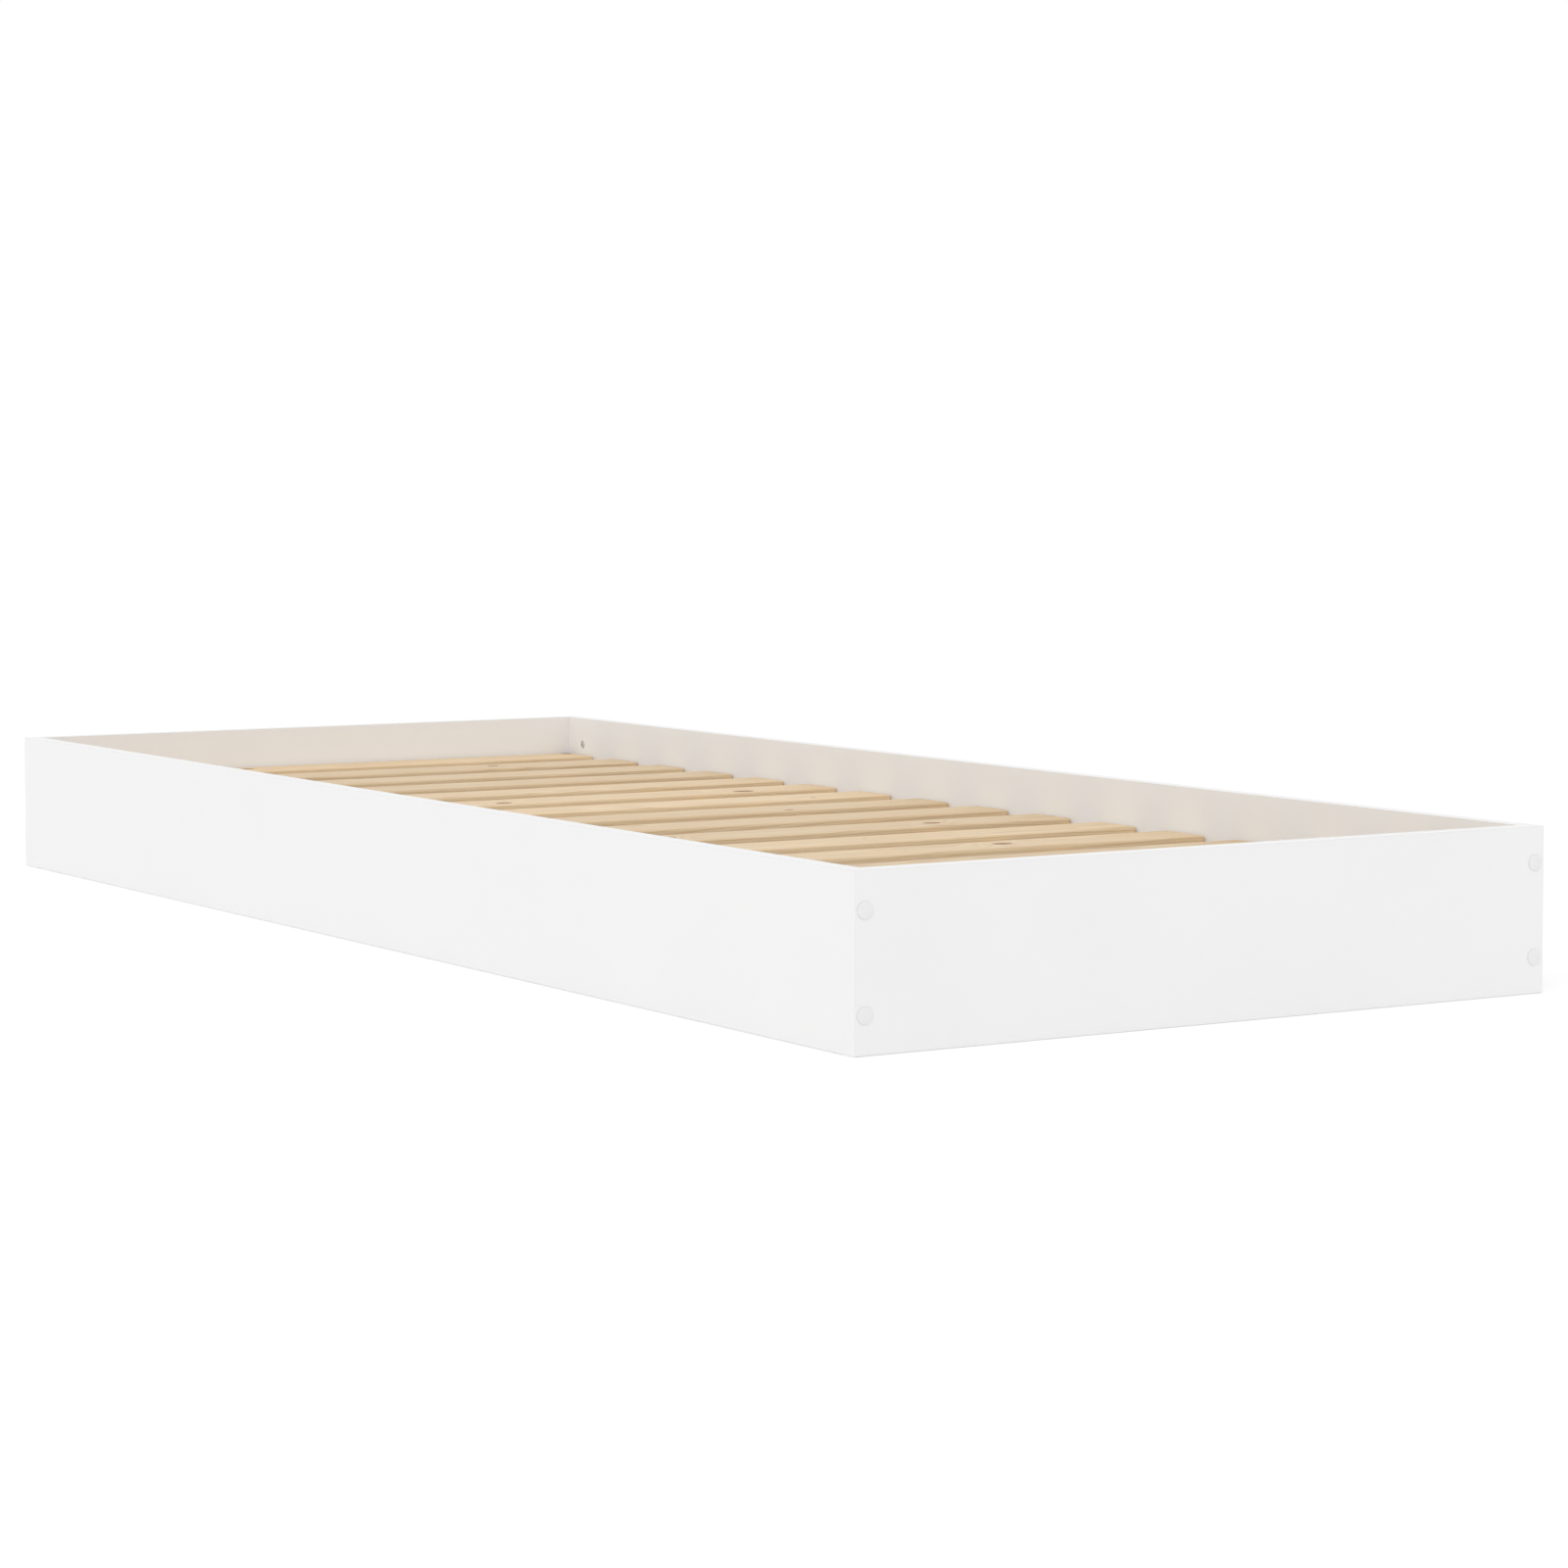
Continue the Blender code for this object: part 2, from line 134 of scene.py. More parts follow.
def plus(tree, first, second):
    """The sum of two numbers."""
    return calculate(tree, "ADD", first, second)


def minus(tree, first, second):
    """The first number less the second."""
    return calculate(tree, "SUBTRACT", first, second)


def times(tree, first, second):
    """The product of two numbers."""
    return calculate(tree, "MULTIPLY", first, second)


def split(tree, vector):
    """The three numbers of a vector."""
    return add_node(tree, "ShaderNodeSeparateXYZ", {0: vector}).outputs


def split_colour(tree, colour):
    """The three numbers of a colour. A random colour gives three random numbers."""
    return add_node(tree, "ShaderNodeSeparateColor", {0: colour}).outputs


def join(tree, x, y, z):
    """A vector from three numbers."""
    return add_node(tree, "ShaderNodeCombineXYZ", {0: x, 1: y, 2: z}).outputs[0]


def length(tree, vector):
    """The length of a vector."""
    return add_node(tree, "ShaderNodeVectorMath", {0: vector}, operation="LENGTH").outputs["Value"]


# %% Helpers for finishes
def new_finish(name):
    """A material with an empty tree, its shader and the output."""
    material = bpy.data.materials.new(name)
    material.use_nodes = True
    tree = material.node_tree
    return material, tree, tree.nodes["Principled BSDF"]


def object_place(tree):
    """Where a point lies on the bed, in metres."""
    return add_node(tree, "ShaderNodeTexCoord").outputs["Object"]


def noise(tree, place, scale, detail=2.0, coarseness=0.5):
    """Random clouds, so many to the metre. Coarseness says how much the finer clouds in them count."""
    sockets = {"Vector": place, "Scale": scale, "Detail": detail, "Roughness": coarseness}
    return add_node(tree, "ShaderNodeTexNoise", sockets).outputs["Fac"]


def spread(tree, value, low, high, from_low=0.3, from_high=0.7):
    """Moves a value from one span to another. Most of a random cloud lies between 0.3 and 0.7."""
    sockets = {"Value": value, "From Min": from_low, "From Max": from_high, "To Min": low, "To Max": high}
    return add_node(tree, "ShaderNodeMapRange", sockets).outputs[0]


def blend_colours(tree, share, first, second, way="MIX"):
    """Mixes two colours by a share."""
    made = add_node(tree, "ShaderNodeMix", {0: share}, data_type="RGBA", blend_type=way)
    for socket, colour in ((made.inputs[6], first), (made.inputs[7], second)):
        if isinstance(colour, bpy.types.NodeSocket):
            tree.links.new(colour, socket)
        else:
            socket.default_value = (*colour, 1.0)
    return made.outputs[2]


def raise_surface(tree, shader, height, depth):
    """Gives a surface fine relief of that depth in metres."""
    bump = add_node(tree, "ShaderNodeBump", {"Strength": 1.0, "Distance": depth, "Height": height})
    tree.links.new(bump.outputs["Normal"], shader.inputs["Normal"])


# %% [markdown]
# ## White faces and edge bands
#
# The boards are chipboard under a hard white facing. It looks plain white, but it is not: a fine
# pearled grain is pressed into it, so that a reflection breaks up, and it is a little shinier in some
# places than in others. The narrow edges carry a plastic band in the same white, a little smoother
# than the faces. Colour alone can't show this, so both finishes vary their roughness and relief.

# %% Finishes for facing and edge band
CLOUDS_PER_METRE = 5.0
SMEARS_PER_METRE = 17.0


def white_finish(name, dark, light, roughness, grain_per_metre, grain_depth):
    """White surface with faint clouds in its colour and gloss, and a fine pressed grain."""
    material, tree, shader = new_finish(name)
    place = object_place(tree)
    clouds = noise(tree, place, CLOUDS_PER_METRE, detail=3.0)
    tone = blend_colours(tree, spread(tree, clouds, 0.0, 1.0), dark, light)
    tree.links.new(tone, shader.inputs["Base Color"])
    smears = noise(tree, place, SMEARS_PER_METRE, detail=4.0)
    tree.links.new(spread(tree, smears, *roughness), shader.inputs["Roughness"])
    raise_surface(tree, shader, noise(tree, place, grain_per_metre, detail=1.5), grain_depth)
    return material


facing = white_finish(
    "white_facing", dark=(0.866, 0.865, 0.864), light=(0.880, 0.879, 0.878),
    roughness=(0.36, 0.46), grain_per_metre=1300.0, grain_depth=0.00003,
)
edge_band = white_finish(
    "white_edge_band", dark=(0.868, 0.867, 0.866), light=(0.880, 0.879, 0.878),
    roughness=(0.33, 0.40), grain_per_metre=500.0, grain_depth=0.00001,
)
print("white finishes:", facing.name, "and", edge_band.name)

# %% [markdown]
# ## Chipboard, where the facing ends
#
# Drilled holes and the sawn lower edges show the bare core: pressed flakes of wood, pale and dark, in
# a brown glue. Cells of random tone give the flakes, and stretching them makes them lie flat.

# %% Finish for the chipboard core
FLAKES_PER_METRE = 420.0
FLAKE_STRETCH = (1.0, 0.5, 1.0)
GLUE_SPAN = (0.35, 0.75)
FLAKE_RELIEF = 0.0003
DARK_FLAKE = (0.30, 0.19, 0.10)
PALE_FLAKE = (0.62, 0.47, 0.29)
GLUE = (0.20, 0.12, 0.06)
CHIPBOARD_ROUGHNESS = 0.85


def chipboard_finish():
    """Flakes of wood pressed in glue."""
    material, tree, shader = new_finish("chipboard_core")
    flat = add_node(tree, "ShaderNodeMapping", {"Vector": object_place(tree), "Scale": FLAKE_STRETCH})
    flakes = add_node(tree, "ShaderNodeTexVoronoi", {"Vector": flat.outputs[0], "Scale": FLAKES_PER_METRE})
    wood = blend_colours(tree, split_colour(tree, flakes.outputs["Color"])[0], DARK_FLAKE, PALE_FLAKE)
    glue = spread(tree, flakes.outputs["Distance"], 0.0, 1.0, *GLUE_SPAN)
    tree.links.new(blend_colours(tree, glue, wood, GLUE), shader.inputs["Base Color"])
    shader.inputs["Roughness"].default_value = CHIPBOARD_ROUGHNESS
    raise_surface(tree, shader, flakes.outputs["Distance"], FLAKE_RELIEF)
    return material


chipboard = chipboard_finish()
print("core finish:", chipboard.name)

# %% [markdown]
# ## Planed pine
#
# Slats, cleats and ledges are sawn from different trees, so no two show the same figure. A wood photo
# wrapped round them would repeat and would break at the edges. Here the wood is worked out in space
# instead: each piece carries the place of its points in the plank, and a number for its tree. The
# number moves the heart of the tree, the distance from the heart gives the year rings, and a plane
# cut through them draws the long flames that pine shows. The heart wanders a little along the plank.
# Knots sit at random places, and the rings bend round them.

# %% Knots: how far a point lies from the nearest one
KNOTS_PER_METRE = 2.6
KNOT_TREE_STEP = 50.0
KNOT_FLATTENING = 0.72
KNOT_SIZE = 0.019
KNOTLESS_SHARE = 0.42
KNOT_ASIDE = 0.056


def off_centre(tree, value, reach):
    """A random value between nought and one, made to swing both ways by half a reach."""
    return times(tree, minus(tree, value, 0.5), reach)


def knot_distance(tree, place, number):
    """How far a point lies from the nearest knot's middle, and that knot's size."""
    x, y, _ = split(tree, place)
    along = plus(tree, times(tree, number, KNOT_TREE_STEP), times(tree, x, KNOTS_PER_METRE))
    cells = add_node(tree, "ShaderNodeTexVoronoi", {"W": along, "Scale": 1.0}, voronoi_dimensions="1D")
    gap = times(tree, minus(tree, along, cells.outputs["W"]), KNOT_FLATTENING / KNOTS_PER_METRE)
    luck = split_colour(tree, cells.outputs["Color"])
    aside = minus(tree, y, off_centre(tree, luck[0], KNOT_ASIDE))
    size = times(tree, minus(tree, luck[1], KNOTLESS_SHARE), KNOT_SIZE)
    return length(tree, join(tree, gap, aside, 0.0)), calculate(tree, "MAXIMUM", size, 0.0)


# %% Year rings: how far a point lies from the heart of its tree
HEART_NEAR = 0.030
HEART_SPREAD = 0.050
HEART_ASIDE = 0.060
HEART_WANDER = 0.024
WANDERS_PER_METRE = 1.6
WANDER_TREE_STEP = 40.0
RIPPLE_DEPTH = 0.0045
RIPPLES_PER_METRE = 28.0
RIPPLES_PER_WANDER = 2.0


def ring_radius(tree, place, number, bend):
    """Distance from the heart of the tree, with the heart in another place for each number."""
    x, y, z = split(tree, place)
    luck = add_node(tree, "ShaderNodeTexWhiteNoise", {"W": number}, noise_dimensions="1D")
    luck = split_colour(tree, luck.outputs["Color"])
    drift = plus(tree, times(tree, x, WANDERS_PER_METRE), times(tree, number, WANDER_TREE_STEP))
    sway = add_node(
        tree, "ShaderNodeTexNoise", {"W": drift, "Scale": 1.0, "Detail": 1.0}, noise_dimensions="1D",
    )
    sway = split_colour(tree, sway.outputs["Color"])
    side = minus(tree, y, off_centre(tree, luck[0], HEART_ASIDE))
    side = minus(tree, side, off_centre(tree, sway[0], HEART_WANDER))
    deep = calculate(tree, "MULTIPLY_ADD", luck[1], HEART_SPREAD, HEART_NEAR)
    deep = plus(tree, deep, off_centre(tree, sway[1], HEART_WANDER))
    even_chance = calculate(tree, "GREATER_THAN", luck[2], 0.5)
    bark_side = calculate(tree, "MULTIPLY_ADD", even_chance, 2.0, -1.0)
    deep = plus(tree, deep, times(tree, z, bark_side))
    stretched = join(tree, times(tree, drift, RIPPLES_PER_WANDER), times(tree, y, RIPPLES_PER_METRE), deep)
    ripple = off_centre(tree, noise(tree, stretched, 1.0), RIPPLE_DEPTH)
    radius = length(tree, join(tree, 0.0, side, deep))
    return plus(tree, plus(tree, radius, ripple), bend)


# %% The tone of clear wood: year rings, fibres and patches
RING_WIDTH = 0.0030
YEAR_DARKENING = ((0.45, 0.12), (0.80, 0.75), (0.90, 1.0))
EARLY_WOOD = (0.770, 0.600, 0.385)
LATE_WOOD = (0.580, 0.375, 0.190)
PALE_FIBRE = (0.90, 0.77, 0.57)
PATCH_WOOD = (0.705, 0.500, 0.290)
FIBRES_PER_METRE = 620.0
FIBRE_TREE_STEP = 30.0
PATCHES_PER_METRE = (5.0, 14.0)
FIBRES_PER_PATCH = 3.0
FIBRE_SHARE = 0.34
PATCH_SHARE = 0.35
TINT_SHIFT = 3.7
TINT_RANGE = (0.90, 1.07)


def late_wood(tree, radius):
    """How far a point's year has gone from pale early wood to dark late wood."""
    year = calculate(tree, "FRACT", calculate(tree, "DIVIDE", radius, RING_WIDTH))
    growth = add_node(tree, "ShaderNodeValToRGB", {0: year})
    stops = growth.color_ramp.elements
    for stop, position in zip(stops, (0.0, 1.0)):
        stop.position, stop.color = position, (0.0, 0.0, 0.0, 1.0)
    for position, value in YEAR_DARKENING:
        stops.new(position).color = (value, value, value, 1.0)
    return growth.outputs["Color"]


def clear_wood(tree, place, number, late):
    """The tone of wood without knots, and its fibres."""
    tone = blend_colours(tree, late, EARLY_WOOD, LATE_WOOD)
    x, y, z = split(tree, place)
    patches_along, patches_across = PATCHES_PER_METRE
    drift = plus(tree, times(tree, x, patches_along), times(tree, number, FIBRE_TREE_STEP))
    fine_y, fine_z = (times(tree, across, FIBRES_PER_METRE) for across in (y, z))
    fibres = join(tree, times(tree, drift, FIBRES_PER_PATCH), fine_y, fine_z)
    fibres = noise(tree, fibres, 1.0, detail=4.0, coarseness=0.75)
    tone = blend_colours(tree, spread(tree, fibres, 0.0, FIBRE_SHARE), tone, PALE_FIBRE)
    patch = noise(tree, join(tree, drift, times(tree, y, patches_across), number), 1.0)
    tone = blend_colours(tree, spread(tree, patch, 0.0, PATCH_SHARE), tone, PATCH_WOOD)
    tint = {"W": plus(tree, number, TINT_SHIFT)}
    tint = add_node(tree, "ShaderNodeTexWhiteNoise", tint, noise_dimensions="1D").outputs["Value"]
    light = spread(tree, tint, *TINT_RANGE, 0.0, 1.0)
    return blend_colours(tree, 1.0, tone, join(tree, light, light, light), "MULTIPLY"), fibres


# %% The tone of a knot: a ringed core with a dark, uneven rim
KNOT_WOOD = (0.270, 0.130, 0.055)
KNOT_RING_WOOD = (0.370, 0.190, 0.080)
KNOT_RIM_WOOD = (0.120, 0.055, 0.025)
KNOT_RING_WIDTH = 0.0009
KNOT_RIM_SHARE = 0.8
KNOT_RIM = (-0.0011, -0.0002)
KNOT_BLUR = 0.0006
DENTS_PER_METRE = 160.0
DENT_DEPTH = 0.0036


def add_knots(tree, tone, place, away, size):
    """The tone of clear wood with the knots laid over it."""
    dents = off_centre(tree, noise(tree, place, DENTS_PER_METRE), DENT_DEPTH)
    away = calculate(tree, "ABSOLUTE", plus(tree, away, dents))
    outside = minus(tree, away, size)
    knot = spread(tree, outside, 1.0, 0.0, -KNOT_BLUR, KNOT_BLUR)
    rings = calculate(tree, "PINGPONG", away, KNOT_RING_WIDTH)
    rings = spread(tree, rings, 0.0, 1.0, 0.0, KNOT_RING_WIDTH)
    inside = blend_colours(tree, rings, KNOT_WOOD, KNOT_RING_WOOD)
    rim = spread(tree, outside, 0.0, KNOT_RIM_SHARE, *KNOT_RIM)
    inside = blend_colours(tree, rim, inside, KNOT_RIM_WOOD)
    has_knot = calculate(tree, "GREATER_THAN", size, 0.0)
    return blend_colours(tree, times(tree, knot, has_knot), tone, inside)


# %% Put the pine finish together
KNOT_REACH = 2.4
KNOT_PUSH = 1.1
LEAST_REACH = 0.0001
PINE_ROUGHNESS = (0.62, 0.48)
FIBRE_HEIGHT_SHARE = 0.6
RING_HEIGHT_SHARE = 0.5
PINE_RELIEF = 0.00005


def pine_finish():
    """Planed pine, its figure worked out from the place of each point in its plank."""
    material, tree, shader = new_finish("planed_pine")
    place = add_node(tree, "ShaderNodeAttribute", attribute_name="grain_place").outputs["Vector"]
    number = add_node(tree, "ShaderNodeAttribute", attribute_name="tree_number").outputs["Fac"]
    away, size = knot_distance(tree, place, number)

    reach = calculate(tree, "MULTIPLY_ADD", size, KNOT_REACH, LEAST_REACH)
    closeness = calculate(tree, "POWER", calculate(tree, "DIVIDE", away, reach), 2.0)
    hill = calculate(tree, "EXPONENT", times(tree, closeness, -1.0))
    bend = times(tree, hill, times(tree, size, KNOT_PUSH))
    late = late_wood(tree, ring_radius(tree, place, number, bend))

    tone, fibres = clear_wood(tree, place, number, late)
    tone = add_knots(tree, tone, place, away, size)
    tree.links.new(tone, shader.inputs["Base Color"])
    tree.links.new(spread(tree, late, *PINE_ROUGHNESS, 0.0, 1.0), shader.inputs["Roughness"])
    relief = plus(tree, times(tree, fibres, FIBRE_HEIGHT_SHARE), times(tree, late, RING_HEIGHT_SHARE))
    raise_surface(tree, shader, relief, PINE_RELIEF)
    return material


pine = pine_finish()
print("nodes in the pine finish:", len(pine.node_tree.nodes))

# %% [markdown]
# ## Plastic, zinc, steel and beech
#
# The cover caps are moulded in white plastic, a shade greyer than the boards, with the fine matt skin
# of a spark-worn mould. Barrel nuts and screws are zinc-plated, which is bright but never even: the
# plating clouds, so its roughness does too. Bolts and dowels hide inside the boards and are seen only
# when the bed is taken apart, so a simpler finish serves them.

# %% Finish for cover caps
CAP_CLOUDS_PER_METRE = 60.0
CAP_SMEARS_PER_METRE = 900.0
CAP_GRAIN_PER_METRE = 3500.0
CAP_GREYER = (0.815, 0.817, 0.815)
CAP_WHITER = (0.835, 0.836, 0.833)
CAP_ROUGHNESS = (0.34, 0.46)
FINE_RELIEF = 0.00001


def cap_finish():
    """Moulded white plastic."""
    material, tree, shader = new_finish("moulded_plastic")
    place = object_place(tree)
    tone = blend_colours(tree, noise(tree, place, CAP_CLOUDS_PER_METRE), CAP_GREYER, CAP_WHITER)
    tree.links.new(tone, shader.inputs["Base Color"])
    smears = noise(tree, place, CAP_SMEARS_PER_METRE)
    tree.links.new(spread(tree, smears, *CAP_ROUGHNESS), shader.inputs["Roughness"])
    raise_surface(tree, shader, noise(tree, place, CAP_GRAIN_PER_METRE, detail=1.0), FINE_RELIEF)
    return material


cap_plastic = cap_finish()
print("cap finish:", cap_plastic.name)

# %% Finishes for zinc and steel
PLATING_CLOUDS_PER_METRE = 350.0
PLATING_GRAIN_PER_METRE = 2600.0


def plated_finish(name, dull, bright, roughness):
    """Zinc or bright steel, clouded by its plating."""
    material, tree, shader = new_finish(name)
    place = object_place(tree)
    clouds = noise(tree, place, PLATING_CLOUDS_PER_METRE, detail=4.0)
    tree.links.new(blend_colours(tree, clouds, dull, bright), shader.inputs["Base Color"])
    tree.links.new(spread(tree, clouds, *roughness), shader.inputs["Roughness"])
    shader.inputs["Metallic"].default_value = 1.0
    raise_surface(tree, shader, noise(tree, place, PLATING_GRAIN_PER_METRE), FINE_RELIEF)
    return material


zinc = plated_finish(
    "clouded_zinc", dull=(0.60, 0.61, 0.63), bright=(0.80, 0.81, 0.83), roughness=(0.28, 0.48),
)
bright_steel = plated_finish(
    "bright_steel", dull=(0.55, 0.55, 0.57), bright=(0.74, 0.74, 0.76), roughness=(0.22, 0.36),
)
print("metal finishes:", zinc.name, "and", bright_steel.name)

# %% Finish for dowels, and what the hidden solids wear
FLECKS_PER_METRE = 900.0
FLECK_STRETCH = (1.0, 0.08, 1.0)
DARK_BEECH = (0.50, 0.33, 0.19)
PALE_BEECH = (0.72, 0.53, 0.34)
BEECH_ROUGHNESS = 0.6
BEECH_RELIEF = 0.00004


def beech_finish():
    """Turned beech: fine short flecks along the dowel."""
    material, tree, shader = new_finish("turned_beech")
    long = add_node(tree, "ShaderNodeMapping", {"Vector": object_place(tree), "Scale": FLECK_STRETCH})
    flecks = noise(tree, long.outputs[0], FLECKS_PER_METRE, detail=3.0)
    tree.links.new(blend_colours(tree, flecks, DARK_BEECH, PALE_BEECH), shader.inputs["Base Color"])
    shader.inputs["Roughness"].default_value = BEECH_ROUGHNESS
    raise_surface(tree, shader, flecks, BEECH_RELIEF)
    return material


hidden_finishes = {"bolt": bright_steel, "dowel": beech_finish()}
for name, piece in frame["nodes"].items():
    kind = name.split("_")[0]
    if kind in hidden_finishes:
        piece.data.materials.clear()
        piece.data.materials.append(hidden_finishes[kind])
print("finishes:", ", ".join(sorted(material.name for material in bpy.data.materials if material.users)))

# %% [markdown]
# ## Tools for shapes
#
# Every wooden piece starts as a block whose chosen edges are rounded. An edge is named by the two
# faces that it joins, such as top and left, so that the sawn edges can stay square while the ones that
# a hand meets are eased. Holes are cut with a turned tool. After that the shading is settled: flat
# faces stay flat and only the rounding looks round, because large faces lead the shading at an edge.

# %% Helpers that make shapes
FACES = {"left": (0, -1), "right": (0, 1), "foot": (1, -1), "head": (1, 1), "bottom": (2, -1), "top": (2, 1)}
ALL_EDGES = [(one, two) for one in FACES for two in FACES if FACES[one][0] < FACES[two][0]]
ROUND_SIDES = 48
SMALL_ROUND_SIDES = 32


def link(name, mesh):
    """An object for a mesh."""
    piece = bpy.data.objects.new(name, mesh)
    bpy.context.scene.collection.objects.link(piece)
    return piece


def block(low, high, rounded=(), radius=0.0, segments=4):
    """A block between two corners, with the named edges rounded."""
    shape = bmesh.new()
    bmesh.ops.create_cube(shape, size=1.0)
    centre = (Vector(low) + Vector(high)) / 2
    bmesh.ops.scale(shape, vec=Vector(high) - Vector(low), verts=shape.verts)
    bmesh.ops.translate(shape, vec=centre, verts=shape.verts)

    def joins(edge, faces):
        return all(
            (vert.co[axis] > centre[axis]) == (side > 0)
            for axis, side in map(FACES.get, faces) for vert in edge.verts
        )

    chosen = [edge for edge in shape.edges if any(joins(edge, faces) for faces in rounded)]
    if chosen:
        bmesh.ops.bevel(shape, geom=chosen, offset=radius, segments=segments, profile=0.5, affect="EDGES")
    return shape


def turned(profile, sides=ROUND_SIDES, place=None):
    """A closed body turned round +Z, from points of height and radius."""
    shape = bmesh.new()
    rings = []
    for height, radius in profile:
        angles = [2 * math.pi * step / sides for step in range(sides)]
        rings.append([shape.verts.new((radius * math.cos(a), radius * math.sin(a), height)) for a in angles])
    shape.faces.new(rings[0])
    shape.faces.new(rings[-1])
    for first, second in zip(rings, rings[1:]):
        for step in range(sides):
            after = (step + 1) % sides
            shape.faces.new((first[step], first[after], second[after], second[step]))
    bmesh.ops.recalc_face_normals(shape, faces=shape.faces)
    if place is not None:
        shape.transform(place)
    return shape


def pointing(start, direction):
    """Matrix that stands a turned body at start with its +Z along direction."""
    return Matrix.Translation(start) @ Vector(direction).to_track_quat("Z", "Y").to_matrix().to_4x4()


# %% Helpers that finish shapes
SHARP_ANGLE = 35


def to_mesh(name, shape, *finishes):
    """A mesh with its finishes, from a shape."""
    mesh = bpy.data.meshes.new(name)
    shape.to_mesh(mesh)
    shape.free()
    for finish in finishes:
        mesh.materials.append(finish)
    return mesh


def evaluated(name, piece):
    """The mesh that a piece's modifiers make. The piece itself goes."""
    bpy.context.view_layer.update()
    mesh = bpy.data.meshes.new_from_object(piece.evaluated_get(bpy.context.evaluated_depsgraph_get()))
    mesh.name = name
    bpy.data.objects.remove(piece)
    return mesh


def cut(name, mesh, tools):
    """A mesh with each tool's shape cut out of it. The cut faces take the tool's finish."""
    blank = link(name, mesh)
    cutters = [link(f"{name}_tool", tool) for tool in tools]
    for cutter in cutters:
        hole = blank.modifiers.new("hole", "BOOLEAN")
        hole.operation = "DIFFERENCE"
        hole.solver = "EXACT"
        hole.material_mode = "TRANSFER"
        hole.object = cutter
    made = evaluated(name, blank)
    for cutter in cutters:
        bpy.data.objects.remove(cutter)
    return made


def settle_shading(mesh):
    """Smooth shading on roundings, flat shading on faces."""
    mesh.shade_smooth()
    mesh.set_sharp_from_angle(angle=math.radians(SHARP_ANGLE))
    holder = link(mesh.name, mesh)
    weighted = holder.modifiers.new("weighted", "WEIGHTED_NORMAL")
    weighted.keep_sharp = True
    return evaluated(mesh.name, holder)


def add_to_bed(name, mesh, body, slot, *nodes):
    """Puts a finished piece on its body, in place of the plain solids that it stands for."""
    piece = link(name, settle_shading(mesh))
    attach(piece, body)
    if nodes:
        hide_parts(*nodes)
    return piece


print("edges that a block can round:", len(ALL_EDGES))

# %% [markdown]
# ## The four boards
#
# A board is a faced core with a band glued along each edge that shows. Drawn as one block it would
# have no joints at all, so core and bands are separate pieces here, with a hairline between them. The
# bands are rounded on their outer side only. The lower edges stay sawn, as on a board that stands on
# the floor.

# %% Values for boards
BAND_THICKNESS = 0.0008
HAIRLINE = 0.00005
BAND_RADIUS = 0.0006
SAWN_RADIUS = 0.0003
HOLE_OVERRUN = 0.002
COUNTERBORE_RADIUS = 0.0077
COUNTERBORE_DEPTH = 0.006
BOLT_HOLE_RADIUS = 0.0035
BOLT_TIP_ROOM = 0.003
DOWEL_HOLE_RADIUS = 0.0043
NUT_HOLE_RADIUS = 0.0053
HOLE_ROOM = 0.0005
FACING_DOWN = -0.99
BOARD_BODY = "frame"
ENDS = {"foot": -1, "head": 1}
SIDES = {"left": -1, "right": 1}
SAWN_EDGES = [(face, "bottom") for face in ("left", "right", "foot", "head")]
TOP_EDGES = [(face, "top") for face in ("left", "right", "foot", "head")]


def middle(node):
    """Middle of a solid's box."""
    low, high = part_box(node)
    return (low + high) / 2


def board_core(node, low, high, tools):
    """A faced core with its holes cut. Its lower face is sawn and shows chipboard."""
    blank = to_mesh(node, block(low, high, SAWN_EDGES, SAWN_RADIUS, segments=2), facing, chipboard)
    core = cut(node, blank, tools)
    for face in core.polygons:
        if face.normal.z < FACING_DOWN:
            face.material_index = 1
    add_to_bed(f"{node}_core", core, BOARD_BODY, "white_board", node)


def board_band(name, low, high, rounded):
    """A band glued to an edge, rounded on its outer side."""
    band = to_mesh("band", block(low, high, rounded, BAND_RADIUS), edge_band)
    add_to_bed(name, band, BOARD_BODY, "white_board")


# %% Helpers for the holes of fittings
def solids(kind, *words):
    """Sorted names of the solids of a kind, such as the bolts on the left at the foot."""
    names = sorted(name for name in frame["nodes"] if name.startswith(kind))
    return [name for name in names if all(f"_{word}" in name for word in words)]


def drill_for(name, axis, face, inward, radius, room):
    """The drill that makes a fitting's hole, from a board's face to a little past the fitting's end."""
    low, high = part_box(name)
    start = middle(name)
    start[axis] = face
    direction = Vector((0, 0, 0))
    direction[axis] = inward
    depth = abs((high if inward > 0 else low)[axis] - face) + room
    shape = turned([(-HOLE_OVERRUN, radius), (depth, radius)], place=pointing(start, direction))
    return to_mesh("drill", shape, chipboard)


